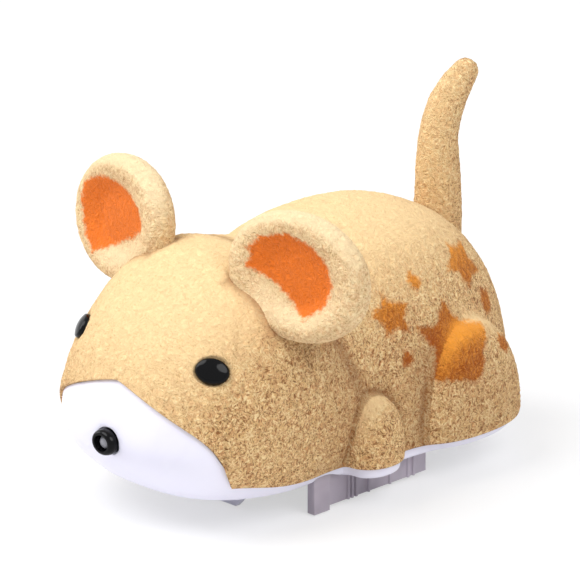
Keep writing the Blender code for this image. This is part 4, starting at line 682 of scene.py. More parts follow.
def lathe(profile, count, matrix=Matrix.Identity(4), closed=False, squash=1.0):
    """Turn a profile of (radius, height) about local Z. Radius zero makes a pole."""
    shape = bmesh.new()
    rings = []
    for radius, height in profile:
        if radius == 0:
            rings.append([shape.verts.new((0.0, 0.0, height))])
        else:
            ring = circle((0.0, 0.0), radius, count)
            rings.append([shape.verts.new((x, y * squash, height)) for x, y in ring])
    pairs = list(zip(rings, rings[1:]))
    if closed:
        pairs.append((rings[-1], rings[0]))
    for below, above in pairs:
        for i in range(count):
            j = (i + 1) % count
            if len(below) == 1:
                shape.faces.new((below[0], above[i], above[j]))
            elif len(above) == 1:
                shape.faces.new((below[i], below[j], above[0]))
            else:
                shape.faces.new((below[i], below[j], above[j], above[i]))
    for ring in (rings[0], rings[-1]):
        if len(ring) > 1 and not closed:
            shape.faces.new(ring)
    bmesh.ops.transform(shape, matrix=matrix, verts=shape.verts)
    bmesh.ops.recalc_face_normals(shape, faces=shape.faces)
    return shape


def mirrored(shape, side):
    """The same bmesh for side +1, and its mirror image in X for side -1."""
    if side < 0:
        bmesh.ops.scale(shape, vec=(-1.0, 1.0, 1.0), verts=shape.verts)
        bmesh.ops.recalc_face_normals(shape, faces=shape.faces)
    return shape


def working_object(shape):
    """A bmesh as an object that is only used by a modifier."""
    bmesh.ops.recalc_face_normals(shape, faces=shape.faces)
    mesh = bpy.data.meshes.new("working")
    shape.to_mesh(mesh)
    shape.free()
    item = bpy.data.objects.new("working", mesh)
    bpy.context.collection.objects.link(item)
    return item


def worked(base, others, operation):
    """Boolean of a bmesh with others, as a new bmesh. All of them are used up."""
    first = working_object(base)
    items = [working_object(other) for other in others]
    for item in items:
        step = first.modifiers.new("step", "BOOLEAN")
        step.operation = operation
        step.solver = "EXACT"
        step.object = item
    graph = bpy.context.evaluated_depsgraph_get()
    result = bmesh.new()
    result.from_object(first, graph)
    for item in [first, *items]:
        mesh = item.data
        bpy.data.objects.remove(item, do_unlink=True)
        bpy.data.meshes.remove(mesh)
    return result


def less(first, *others):
    """Cut every other shape out of the first."""
    return worked(first, others, "DIFFERENCE")


def plus(first, *others):
    """Join every other shape to the first."""
    return worked(first, others, "UNION")


def moulded(name, shape, material, edge, smooth_angle=40.0, segments=2):
    """A piece from a bmesh whose sharp edges are rounded by edge."""
    bmesh.ops.recalc_face_normals(shape, faces=shape.faces)
    mesh = bpy.data.meshes.new(name)
    shape.to_mesh(mesh)
    shape.free()
    item = bpy.data.objects.new(name, mesh)
    bpy.context.collection.objects.link(item)
    if edge:
        rounding = item.modifiers.new("rounding", "BEVEL")
        rounding.width = edge
        rounding.segments = segments
        rounding.limit_method = "ANGLE"
        rounding.angle_limit = EDGE_MIN_ANGLE
        rounding.use_clamp_overlap = True
        graph = bpy.context.evaluated_depsgraph_get()
        rounded = bpy.data.meshes.new_from_object(item.evaluated_get(graph))
        item.modifiers.clear()
        item.data = rounded
        bpy.data.meshes.remove(mesh)
        rounded.name = name
        mesh = rounded
    mesh.materials.clear()
    mesh.materials.append(material)
    mesh.shade_smooth()
    mesh.set_sharp_from_angle(angle=math.radians(smooth_angle))
    return item


# Finishes

def add_node(tree, kind, **values):
    """A node with its settings and unlinked inputs."""
    node = tree.nodes.new(kind)
    for key, value in values.items():
        if key in node.inputs:
            node.inputs[key].default_value = value
        else:
            setattr(node, key, value)
    return node


def new_group(name, inputs, outputs):
    """An empty shader node group with named sockets."""
    tree = bpy.data.node_groups.new(name, "ShaderNodeTree")
    for label, kind, value in inputs:
        socket = tree.interface.new_socket(label, in_out="INPUT", socket_type=kind)
        socket.default_value = value
    for label, kind in outputs:
        tree.interface.new_socket(label, in_out="OUTPUT", socket_type=kind)
    return tree, tree.nodes.new("NodeGroupInput"), tree.nodes.new("NodeGroupOutput")


def math_node(tree, operation, first, second=None, clamp=False):
    """A Math node fed by sockets or numbers."""
    node = tree.nodes.new("ShaderNodeMath")
    node.operation = operation
    node.use_clamp = clamp
    for index, value in enumerate((first, second)):
        if value is None:
            continue
        if isinstance(value, bpy.types.NodeSocket):
            tree.links.new(value, node.inputs[index])
        else:
            node.inputs[index].default_value = value
    return node.outputs[0]


def mix_colour(tree, share, first, second):
    """A Mix of two colours, each a socket or a colour."""
    node = tree.nodes.new("ShaderNodeMix")
    node.data_type = "RGBA"
    for index, value in ((0, share), (6, first), (7, second)):
        if isinstance(value, bpy.types.NodeSocket):
            tree.links.new(value, node.inputs[index])
        elif index:
            node.inputs[index].default_value = (*value, 1.0)
        else:
            node.inputs[index].default_value = value
    return node.outputs[2]


def between(tree, value, low, high):
    """Smooth step of a value between two levels."""
    node = tree.nodes.new("ShaderNodeMapRange")
    node.interpolation_type = "SMOOTHSTEP"
    tree.links.new(value, node.inputs["Value"])
    node.inputs["From Min"].default_value = low
    node.inputs["From Max"].default_value = high
    return node.outputs["Result"]


def object_noise(tree, scale, detail=2.0, roughness=0.5, distortion=0.0):
    """Noise that stays on the object."""
    place = tree.nodes.new("ShaderNodeTexCoord")
    node = add_node(tree, "ShaderNodeTexNoise", Scale=scale, Detail=detail, Roughness=roughness,
                    Distortion=distortion)
    tree.links.new(place.outputs["Object"], node.inputs["Vector"])
    return node.outputs["Fac"]


def fibre_strokes(tree, grain, stretch, seed):
    """Noise drawn out into short strokes that bend from place to place."""
    link = tree.links.new
    place = tree.nodes.new("ShaderNodeTexCoord")
    bend = add_node(tree, "ShaderNodeTexNoise", Scale=480.0, Detail=1.0)
    link(place.outputs["Object"], bend.inputs["Vector"])
    centred = add_node(tree, "ShaderNodeVectorMath", operation="SUBTRACT")
    link(bend.outputs["Color"], centred.inputs[0])
    centred.inputs[1].default_value = (0.5, 0.5, 0.5)
    spread = add_node(tree, "ShaderNodeVectorMath", operation="SCALE", Scale=2.4 * MM)
    link(centred.outputs[0], spread.inputs[0])
    bent = add_node(tree, "ShaderNodeVectorMath", operation="ADD")
    link(place.outputs["Object"], bent.inputs[0])
    link(spread.outputs[0], bent.inputs[1])
    drawn = add_node(tree, "ShaderNodeMapping", Scale=stretch, Location=(seed, 0.0, seed))
    link(bent.outputs[0], drawn.inputs["Vector"])
    strokes = add_node(tree, "ShaderNodeTexNoise", Detail=2.0, Roughness=0.6)
    link(drawn.outputs[0], strokes.inputs["Vector"])
    link(grain, strokes.inputs["Scale"])
    return math_node(tree, "SUBTRACT", strokes.outputs["Fac"], 0.5)


def flock_group():
    """Colours and height of short upright fibres: dark gaps, fibre sides and pale tips, with painted light
    from one point field and painted shade from another.
    """
    found = bpy.data.node_groups.get("Short flock")
    if found:
        return found
    inputs = (("Tip", "NodeSocketColor", (1, 1, 1, 1)), ("Fibre", "NodeSocketColor", (1, 1, 1, 1)),
              ("Gap", "NodeSocketColor", (0, 0, 0, 1)), ("Top", "NodeSocketColor", (1, 1, 1, 1)),
              ("Pile", "NodeSocketFloat", 0.5), ("Grain", "NodeSocketFloat", 1700.0),
              ("Above", "NodeSocketFloat", 0.5), ("Painted shade", "NodeSocketFloat", 0.0))
    outputs = (("Colour", "NodeSocketColor"), ("Height", "NodeSocketFloat"))
    tree, given, put = new_group("Short flock", inputs, outputs)
    link = tree.links.new
    upright = fibre_strokes(tree, given.outputs["Grain"], (1.0, 1.0, 0.45), 0.0)
    lying = fibre_strokes(tree, given.outputs["Grain"], (0.5, 0.6, 1.0), 0.31)
    level = math_node(tree, "MULTIPLY", math_node(tree, "MAXIMUM", upright, lying), 8.0)
    level = math_node(tree, "SUBTRACT", level, 0.52)
    patches = math_node(tree, "SUBTRACT", object_noise(tree, 260.0, 4.0, 0.7), 0.5)
    level = math_node(tree, "ADD", level, math_node(tree, "MULTIPLY", patches, 1.9))
    pile = math_node(tree, "MULTIPLY", math_node(tree, "SUBTRACT", given.outputs["Pile"], 0.5), 0.9)
    level = math_node(tree, "ADD", level, pile)
    # Painted light: the fibres' speckle is calmer on the pale, lit parts
    lit_calm = math_node(tree, "SUBTRACT", 1.0, math_node(tree, "MULTIPLY", given.outputs["Above"], 0.55))
    level = math_node(tree, "MULTIPLY", level, lit_calm)
    dark = between(tree, level, -1.3, -0.2)
    pale = between(tree, level, -0.1, 0.75)
    ruddy = math_node(tree, "MULTIPLY", between(tree, object_noise(tree, 760.0, 2.0), 0.40, 0.62), 0.65)
    side = mix_colour(tree, ruddy, given.outputs["Fibre"], (0.70, 0.35, 0.15))
    base = mix_colour(tree, dark, given.outputs["Gap"], side)
    base = mix_colour(tree, pale, base, given.outputs["Tip"])
    # Painted light: the pale lit colour is mixed in where the flock faces up and forward
    above = math_node(tree, "MULTIPLY", given.outputs["Above"], 0.8)
    base = mix_colour(tree, above, base, mix_colour(tree, dark, given.outputs["Fibre"], given.outputs["Top"]))
    # Painted shade: creases and hollows darken towards the gap colour
    deep = math_node(tree, "MULTIPLY", given.outputs["Painted shade"], 0.74)
    link(mix_colour(tree, deep, base, given.outputs["Gap"]), put.inputs["Colour"])
    link(level, put.inputs["Height"])
    return tree


def moulding_group():
    """Faint flow marks and fine texture of moulded plastic."""
    found = bpy.data.node_groups.get("Moulded plastic")
    if found:
        return found
    inputs = (("Colour", "NodeSocketColor", (1, 1, 1, 1)), ("Shade", "NodeSocketColor", (0, 0, 0, 1)),
              ("Marks", "NodeSocketFloat", 0.1), ("Grain", "NodeSocketFloat", 3000.0),
              ("Gloss", "NodeSocketFloat", 0.4))
    outputs = (("Colour", "NodeSocketColor"), ("Roughness", "NodeSocketFloat"), ("Height", "NodeSocketFloat"))
    tree, given, put = new_group("Moulded plastic", inputs, outputs)
    link = tree.links.new
    flow = object_noise(tree, 60.0, 3.0, 0.6, 0.8)
    share = math_node(tree, "MULTIPLY", between(tree, flow, 0.35, 0.75), given.outputs["Marks"])
    link(mix_colour(tree, share, given.outputs["Colour"], given.outputs["Shade"]), put.inputs["Colour"])
    place = tree.nodes.new("ShaderNodeTexCoord")
    grain = add_node(tree, "ShaderNodeTexNoise", Detail=2.0)
    link(place.outputs["Object"], grain.inputs["Vector"])
    link(given.outputs["Grain"], grain.inputs["Scale"])
    rough = math_node(tree, "MULTIPLY", math_node(tree, "SUBTRACT", grain.outputs["Fac"], 0.5), 0.16)
    link(math_node(tree, "ADD", rough, given.outputs["Gloss"], clamp=True), put.inputs["Roughness"])
    link(grain.outputs["Fac"], put.inputs["Height"])
    return tree


def metal_group():
    """Turning marks and dull spots of small metal parts."""
    found = bpy.data.node_groups.get("Turned metal")
    if found:
        return found
    inputs = (("Colour", "NodeSocketColor", (1, 1, 1, 1)), ("Dull", "NodeSocketColor", (0, 0, 0, 1)),
              ("Gloss", "NodeSocketFloat", 0.3))
    outputs = (("Colour", "NodeSocketColor"), ("Roughness", "NodeSocketFloat"), ("Height", "NodeSocketFloat"))
    tree, given, put = new_group("Turned metal", inputs, outputs)
    link = tree.links.new
    spots = object_noise(tree, 900.0, 4.0, 0.6)
    link(mix_colour(tree, between(tree, spots, 0.5, 0.8), given.outputs["Colour"], given.outputs["Dull"]),
         put.inputs["Colour"])
    place = tree.nodes.new("ShaderNodeTexCoord")
    stretch = add_node(tree, "ShaderNodeMapping", Scale=(9000.0, 500.0, 500.0))
    link(place.outputs["Object"], stretch.inputs["Vector"])
    lines = add_node(tree, "ShaderNodeTexNoise", Scale=1.0, Detail=2.0)
    link(stretch.outputs["Vector"], lines.inputs["Vector"])
    rough = math_node(tree, "MULTIPLY", math_node(tree, "SUBTRACT", lines.outputs["Fac"], 0.5), 0.25)
    link(math_node(tree, "ADD", rough, given.outputs["Gloss"], clamp=True), put.inputs["Roughness"])
    link(lines.outputs["Fac"], put.inputs["Height"])
    return tree


def new_material(name, colour):
    """A material with its Principled shader and output."""
    material = bpy.data.materials.new(name)
    material.use_nodes = True
    material.diffuse_color = (*colour, 1.0)
    return material, material.node_tree, material.node_tree.nodes["Principled BSDF"]


def add_bump(tree, shader, height, strength, distance):
    """Bump on a shader's normal."""
    bump = add_node(tree, "ShaderNodeBump", Strength=strength, Distance=distance)
    tree.links.new(height, bump.inputs["Height"])
    tree.links.new(bump.outputs["Normal"], shader.inputs["Normal"])


def add_group(tree, group, **values):
    """A group node with its own values, whose names take spaces for underscores."""
    node = tree.nodes.new("ShaderNodeGroup")
    node.node_tree = group
    for key, value in values.items():
        node.inputs[key.replace("_", " ")].default_value = value
    return node


def point_field(tree, name):
    """A field that the mesh holds at its points."""
    return add_node(tree, "ShaderNodeAttribute", attribute_name=name).outputs["Fac"]


def flock_material(name, tip, fibre, gap, top, marks=None, lit_and_shaded_marks=None):
    """Flock whose marks, where it has them, come from a point field of distances in millimetres. The marks
    mix a lit and a shaded copy of their colour by painted light and painted shade.
    """
    settings = bpy.context.scene.mouse_flock
    material, tree, shader = new_material(name, fibre)
    link = tree.links.new
    flock = add_group(tree, flock_group(), Tip=(*tip, 1), Fibre=(*fibre, 1), Gap=(*gap, 1), Top=(*top, 1),
                      Grain=settings.grain)
    # The pile field, then the painted light and painted shade fields
    for field, socket in (("pile", "Pile"), ("above", "Above"), ("crease", "Painted shade")):
        link(point_field(tree, field), flock.inputs[socket])
    colour = flock.outputs["Colour"]
    if marks:
        # Lit and shaded copies of the marks' colour
        light, deep = lit_and_shaded_marks
        ragged = math_node(tree, "SUBTRACT", object_noise(tree, 800.0, 3.0, 0.7), 0.5)
        edge = math_node(tree, "ADD", point_field(tree, marks), math_node(tree, "MULTIPLY", ragged, 3.0))
        # Painted light and painted shade choose between the copies
        tone = math_node(tree, "MULTIPLY", flock.outputs["Height"], 0.3)
        tone = math_node(tree, "ADD", tone, math_node(tree, "MULTIPLY", point_field(tree, "above"), 1.1))
        crease = math_node(tree, "MULTIPLY", point_field(tree, "crease"), 0.9)
        tone = math_node(tree, "SUBTRACT", tone, crease)
        shade = mix_colour(tree, between(tree, tone, -0.45, 0.75), deep, light)
        share = math_node(tree, "MULTIPLY", between(tree, edge, -0.7, 0.7), 0.94)
        colour = mix_colour(tree, share, colour, shade)
    link(colour, shader.inputs["Base Color"])
    shader.inputs["Roughness"].default_value = 0.9
    shader.inputs["Specular IOR Level"].default_value = 0.08
    shader.inputs["Sheen Weight"].default_value = 0.1
    shader.inputs["Sheen Roughness"].default_value = 0.5
    shader.inputs["Sheen Tint"].default_value = (1.0, 0.88, 0.72, 1.0)
    add_bump(tree, shader, flock.outputs["Height"], 0.7, 0.3 * MM)
    return material


def plastic_material(name, colour, shade, gloss, marks=0.12, grain=3000.0, bump=0.05, shine=0.5,
                     clarity=None):
    """Moulded plastic."""
    material, tree, shader = new_material(name, colour)
    link = tree.links.new
    group = add_group(tree, moulding_group(), Colour=(*colour, 1), Shade=(*shade, 1), Marks=marks,
                      Grain=grain, Gloss=gloss)
    link(group.outputs["Colour"], shader.inputs["Base Color"])
    link(group.outputs["Roughness"], shader.inputs["Roughness"])
    add_bump(tree, shader, group.outputs["Height"], bump, 0.05 * MM)
    shader.inputs["Specular IOR Level"].default_value = shine
    if clarity is not None:
        shader.inputs["Subsurface Weight"].default_value = clarity
        shader.inputs["Subsurface Radius"].default_value = (1.0, 0.9, 0.9)
        shader.inputs["Subsurface Scale"].default_value = 0.6 * MM
    return material


def metal_material(name, colour, dull, gloss):
    """Small metal parts."""
    material, tree, shader = new_material(name, colour)
    link = tree.links.new
    group = add_group(tree, metal_group(), Colour=(*colour, 1), Dull=(*dull, 1), Gloss=gloss)
    link(group.outputs["Colour"], shader.inputs["Base Color"])
    link(group.outputs["Roughness"], shader.inputs["Roughness"])
    shader.inputs["Metallic"].default_value = 1.0
    add_bump(tree, shader, group.outputs["Height"], 0.08, 0.02 * MM)
    return material


FINISHES = {}


def make_finishes():
    """Every material of the toy, under the slot that it finishes."""
    FINISHES["flock"] = flock_material("body flock", FLOCK_TIP, FLOCK_FIBRE, FLOCK_GAP, FLOCK_LIT,
                                       "stars", (STAR_ORANGE, STAR_SHADED))
    FINISHES["tail_flock"] = flock_material("tail flock", FLOCK_TIP, FLOCK_FIBRE, FLOCK_GAP, FLOCK_LIT)
    FINISHES["ear_flock"] = flock_material("ear flock", EAR_TIP, EAR_FIBRE, EAR_GAP, EAR_LIT,
                                           "patch", (PATCH_ORANGE, PATCH_SHADED))
    FINISHES["white_plastic"] = plastic_material("white plastic", MUZZLE_WHITE, (0.75, 0.73, 0.86), 0.34,
                                                 0.5, 2500.0, 0.03, 0.4, 0.1)
    FINISHES["grey_plastic"] = plastic_material("grey plastic", POD_GREY, (0.30, 0.26, 0.31), 0.45, 0.8)
    FINISHES["black_gloss"] = plastic_material("black gloss", (0.0015, 0.0015, 0.002), (0.003, 0.003, 0.004),
                                               0.08, 0.3, 1200.0, 0.01, 0.14)
    FINISHES["lens_grey"] = plastic_material("smoked lens", (0.30, 0.30, 0.33), (0.10, 0.10, 0.12),
                                             0.08, 0.4, 1500.0, 0.01, 0.6)
    FINISHES["rubber"] = plastic_material("tyre rubber", (0.035, 0.033, 0.036), (0.06, 0.055, 0.06),
                                          0.75, 0.6, 2600.0, 0.3)
    FINISHES["natural_nylon"] = plastic_material("natural nylon", (0.78, 0.75, 0.67), (0.66, 0.62, 0.52),
                                                 0.42, 0.5, 2200.0, 0.06, 0.4, 0.08)
    FINISHES["steel"] = metal_material("bright steel", (0.62, 0.62, 0.64), (0.42, 0.42, 0.44), 0.28)
    FINISHES["brass"] = metal_material("turned brass", (0.75, 0.52, 0.22), (0.50, 0.34, 0.14), 0.32)
    FINISHES["board_green"] = board_material()
    FINISHES["cell_blue"] = plastic_material("cell sleeve", (0.06, 0.16, 0.42), (0.04, 0.10, 0.30), 0.32, 0.6)
    FINISHES["black_plastic"] = plastic_material("black plastic", (0.018, 0.018, 0.020), (0.04, 0.04, 0.044),
                                                 0.5, 0.5)


def board_material():
    """Circuit board lacquer with faint copper tracks under it."""
    material, tree, shader = new_material("board lacquer", (0.03, 0.20, 0.09))
    place = tree.nodes.new("ShaderNodeTexCoord")
    track = add_node(tree, "ShaderNodeTexBrick", Scale=420.0, offset=0.35)
    tree.links.new(place.outputs["Object"], track.inputs["Vector"])
    track.inputs["Color1"].default_value = (0.025, 0.17, 0.08, 1)
    track.inputs["Color2"].default_value = (0.03, 0.20, 0.09, 1)
    track.inputs["Mortar"].default_value = (0.06, 0.33, 0.14, 1)
    track.inputs["Mortar Size"].default_value = 0.06
    tree.links.new(track.outputs["Color"], shader.inputs["Base Color"])
    shader.inputs["Roughness"].default_value = 0.35
    add_bump(tree, shader, track.outputs["Fac"], 0.2, 0.03 * MM)
    return material


def finish_packed_nodes():
    """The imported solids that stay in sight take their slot's material."""
    slots = {part["node"]: part["material_slot"] for part in frame["record"]["subparts"]}
    for name, item in frame["nodes"].items():
        if item.hide_render:
            continue
        for index in range(len(item.data.materials)):
            item.data.materials[index] = FINISHES[slots[name]]


# Body

def meridian_table(columns, rows, samples):
    """Elevations that lie evenly along each meridian, from the seam to the crown."""
    azimuth = np.linspace(0, 2 * np.pi, columns + 1)
    seam = level_ring(azimuth, seam_height(azimuth), 0.0)
    low = np.arctan2(seam[:, 2] - HEM_Z, np.linalg.norm(seam[:, :2], axis=-1))
    way = np.linspace(0, 1, samples)
    elevation = low[:, None] + (np.pi / 2 - low[:, None]) * way
    points = cast(CENTRE, directions(np.repeat(azimuth[:, None], samples, 1), elevation))
    lengths = np.linalg.norm(np.diff(points, axis=1), axis=-1)
    lengths = np.concatenate((np.zeros((columns + 1, 1)), np.cumsum(lengths, axis=1)), axis=1)
    lengths /= lengths[:, -1:]
    shares = np.linspace(0, 1, rows + 1)
    return np.stack([np.interp(shares, lengths[i], elevation[i]) for i in range(columns + 1)])


def from_table(table, azimuth, share):
    """Elevations read from the meridian table."""
    columns, rows = table.shape[0] - 1, table.shape[1] - 1
    x = (azimuth % (2 * np.pi)) / (2 * np.pi) * columns
    y = np.clip(share, 0, 1) * rows
    i = np.minimum(x.astype(int), columns - 1)
    j = np.minimum(y.astype(int), rows - 1)
    x, y = x - i, y - j
    low = table[i, j] * (1 - x) + table[i + 1, j] * x
    high = table[i, j + 1] * (1 - x) + table[i + 1, j + 1] * x
    return low * (1 - y) + high * y


def star_field(points):
    """Distance in millimetres inside the nearest mark, below zero outside."""
    best = np.full(len(points), FAR_OUTSIDE)
    near = (np.abs(points[:, 0]) > MARKS_INNER_X) & (points[:, 1] > MARKS_FRONT_Y)
    for outline in MARKS:
        best[near] = np.maximum(best[near], inside_distance(points[near, 1:] / MM, outline))
    return best


def neck_forms(folded):
    """Body and head as the neck fold has them, which runs forward to the root of each ear."""
    height = folded[..., 2]
    forward = np.clip((height - NECK_LEAN_LOW_Z) * NECK_LEAN_SHARE, 0, NECK_LEAN)
    leaning = np.array(folded)
    leaning[..., 1] += forward * fade_out(height, NECK_LEAN_HIGH_Z, NECK_LEAN_FADE)
    return trunk_forms(leaning)


def crease_share(points):
    """One along the lines where head, haunches and paws meet the body, and none away from them. Its share
    sinks the grooves and darkens them as painted shade.
    """
    folded = folded_over(points)
    body, head = neck_forms(folded)
    haunch, paw = leg_forms(folded)
    trunk = np.minimum(body, head)
    neck = np.exp(-((body - head) / np.where(head < body, NECK_GROOVE_FRONT, NECK_GROOVE_REAR)) ** 2)
    neck = neck * fade_in(np.minimum(haunch, paw) - trunk, 0.0, LEG_GROOVE) * NECK_GROOVE_SHARE
    leg = np.exp(-((np.minimum(trunk, paw) - haunch) / LEG_GROOVE) ** 2)
    leg = leg * fade_out(folded[..., 2], LEG_GROOVE_TOP_Z, LEG_GROOVE_FADE)
    arm = np.exp(-((np.minimum(trunk, haunch) - paw) / PAW_GROOVE) ** 2)
    return np.maximum(np.maximum(neck, leg), arm)


def shade_share(points):
    """Painted shade: one in the hollows beside haunches, paws and neck, fading with distance, and less on the
    rump.
    """
    folded = folded_over(points)
    body, head = neck_forms(folded)
    haunch, paw = leg_forms(folded)
    along, height = folded[..., 1], folded[..., 2]
    cheek = np.exp(-np.maximum(body - head, 0) / CHEEK_SHADE) * (head < body) * CHEEK_SHADE_SHARE
    cheek = cheek * fade_out(height, CHEEK_SHADE_TOP_Z, CHEEK_SHADE_FADE)
    beside = np.exp(-np.maximum(haunch, 0) / HAUNCH_SHADE) * (haunch > 0) * (along < HAUNCH_PLACE[1])
    beside = beside * fade_out(height, HAUNCH_SHADE_TOP_Z, HAUNCH_SHADE_FADE)
    behind = np.exp(-np.maximum(paw, 0) / PAW_SHADE) * (paw > 0)
    hollow = np.maximum(np.maximum(beside, behind), cheek) * (np.minimum(haunch, paw) > HOLLOW_CLEARANCE)
    rump = fade_out(height, RUMP_SHADE_TOP_Z, RUMP_SHADE_FADE)
    rump = rump * fade_in(along, RUMP_SHADE_FRONT_Y, RUMP_SHADE_LENGTH)
    return np.maximum(hollow, rump * RUMP_SHADE_SHARE)


def ear_shade(points):
    """Painted shade where the body's flock meets an ear: one there, fading within a few millimetres."""
    place = np.array(facing(EAR_PLACE, EAR_FACING, EAR_RISING))
    local = (folded_over(points) - place[:3, 3]) @ place[:3, :3]
    beyond = np.hypot(local[:, 0], local[:, 1] / EAR_HEIGHT_SHARE) - EAR_RADIUS + EAR_SHADE_OVERLAP
    above = np.abs(local[:, 2]) - EAR_THICKNESS / 2 + EAR_BURY
    away = np.maximum(np.maximum(beyond, above), 0.0)
    return np.exp(-(away / EAR_SHADE) ** 2)


def painted_light_share(normal):
    """Painted light: one where the flock faces up and forward, and none where it faces sideways or down."""
    return eased(fade_in(normal @ PAINTED_LIGHT_WAY, PAINTED_LIGHT_START, PAINTED_LIGHT_RANGE))


def press_round_eyes(points, offset):
    """The flock lies low under the eyes and rises round them."""
    for side in (1, -1):
        place, outward = surface_point(side * EYE_AZIMUTH, EYE_ELEVATION)
        turn = np.array(facing(place, outward).to_3x3())
        local = (points - np.array(place)) @ turn
        flat = np.hypot(local[:, 0], local[:, 1] / EYE_HEIGHT_SHARE) / EYE_RADIUS
        near = np.abs(local[:, 2]) < EYE_NEST_REACH
        sunk = fade_out(flat, EYE_NEST_SHARE, EYE_NEST_EDGE_SHARE) * near
        offset = offset * (1 - sunk) - EYE_NEST_DEPTH * sunk
    return offset


def flocked_shell():
    """Arrays of the flocked shell: points, quads, bake places and point fields."""
    settings = bpy.context.scene.mouse_flock
    half = settings.rows
    share, turn, square, quads = disc_grid(half)
    azimuth = (turn + np.pi / 2) % (2 * np.pi)
    ring = np.rint(share * half).astype(int)
    inner = half - len(LIP)
    elevation = from_table(meridian_table(*MERIDIAN_TABLE_SIZE), azimuth, 1 - np.minimum(ring / inner, 1.0))
    points = cast(CENTRE, directions(azimuth, elevation))
    normal = slope(points)
    fade = fade_out(ring, inner, EDGE_ROWS)
    crease = crease_share(points)
    offset = flock_offset(points, settings.pile) * (EDGE_PILE_SHARE + (1 - EDGE_PILE_SHARE) * fade)
    offset = press_round_eyes(points, offset - crease * GROOVE_DEPTH * fade)
    pile = pile_field(points)
    result = points + normal * offset[:, None]
    for step, (drop, inset) in enumerate(LIP, 1):
        on = ring == inner + step
        around = azimuth[on]
        result[on] = level_ring(around, seam_height(around) - drop, inset)
        pile[on] = LIP_PILE
    # Painted shade of the creases, hollows and ear roots joins the crease field; the above field is painted
    # light
    crease = np.maximum(np.maximum(crease, shade_share(points) * HOLLOW_SHARE), ear_shade(points))
    fields = {"pile": pile, "stars": star_field(points), "above": painted_light_share(normal), "crease": crease}
    return open_tail_seat(result), quads, square, fields


def open_tail_seat(points):
    """Push the flock inside the tail's seat out into a sleeve round it."""
    flat = points[:, :2] - TAIL_CENTRE
    radius = np.linalg.norm(flat, axis=1)
    inside = (radius < TAIL_SLEEVE_RADIUS) & (points[:, 2] > TAIL_FOOT_Z)
    way = flat / np.maximum(radius, TINY)[:, None]
    opened = np.array(points)
    opened[inside, :2] = way[inside] * TAIL_SLEEVE_RADIUS + TAIL_CENTRE
    opened[inside, 2] -= (TAIL_SLEEVE_RADIUS - radius[inside]) * TAIL_SLEEVE_STEEPNESS
    return opened


class MOUSE_OT_shell(bpy.types.Operator):
    """Flocked shell in a front and a rear half"""
    bl_idname = "mouse.shell"
    bl_label = "Flocked shell"

    def execute(self, context):
        points, quads, square, fields = flocked_shell()
        flat = np.linalg.norm(points[:, :2] - TAIL_CENTRE, axis=1)
        height = points[:, 2]
        deep = (flat < TAIL_SLEEVE_RADIUS * 1.02) & (height < TAIL_SURFACE_Z - TAIL_SEAT_DEPTH)
        deep &= height > TAIL_FOOT_Z
        quads = quads[~deep[quads].any(axis=1)]
        middle = square[quads].mean(axis=1)[:, 1]
        for name, side in (("shell_flock_front", middle < 0), ("shell_flock_rear", middle >= 0)):
            used, flat_index = np.unique(quads[side], return_inverse=True)
            uv = np.abs(square[used] * (0.5 - BAKE_MARGIN, 1 - 2 * BAKE_MARGIN) + (0.5, 0.0))
            own = {key: value[used] for key, value in fields.items()}
            item = add_piece(name, points[used], flat_index.reshape(-1, 4), FINISHES["flock"], uv, own)
            place_piece(item, "chassis", "flock", "upper_shell")
        return {"FINISHED"}


# Ears

def ear_profile(side, count):
    """Half section of the ear as (radius, height): its dished front for side 1, its back for side -1."""
    half = EAR_THICKNESS / 2
    crest = EAR_RADIUS - half
    radii = np.linspace(0, crest, 60)
    way = fade_in(radii, EAR_DISH_RADIUS, crest - EAR_DISH_RADIUS)
    dish = EAR_DISH_DEPTH * (0.5 + 0.5 * np.cos(np.pi * way)) if side > 0 else 0 * radii
    turn = np.linspace(0, np.pi / 2, 30)[1:]
    radii = np.concatenate((radii, crest + half * np.sin(turn)))
    heights = np.concatenate((side * half - dish, side * half * np.cos(turn)))
    lengths = np.concatenate(([0.0], np.cumsum(np.hypot(np.diff(radii), np.diff(heights)))))
    spots = np.linspace(0, lengths[-1], count)
    return np.stack((np.interp(spots, lengths, radii), np.interp(spots, lengths, heights)), -1)


def inside_distance(spots, outline):
    """Distance inside a closed outline, below zero outside."""
    outline = np.array(outline)
    best = np.full(len(spots), np.inf)
    crossings = np.zeros(len(spots), dtype=int)
    for first, second in zip(outline, np.roll(outline, -1, axis=0)):
        edge = second - first
        way = np.clip(((spots - first) @ edge) / (edge @ edge), 0, 1)
        best = np.minimum(best, np.linalg.norm(spots - first - way[:, None] * edge, axis=1))
        spans = (first[1] > spots[:, 1]) != (second[1] > spots[:, 1])
        rise = edge[1] if edge[1] else TINY
        crossings += spans & (spots[:, 0] < first[0] + (spots[:, 1] - first[1]) * edge[0] / rise)
    return np.where(crossings % 2 == 1, best, -best)


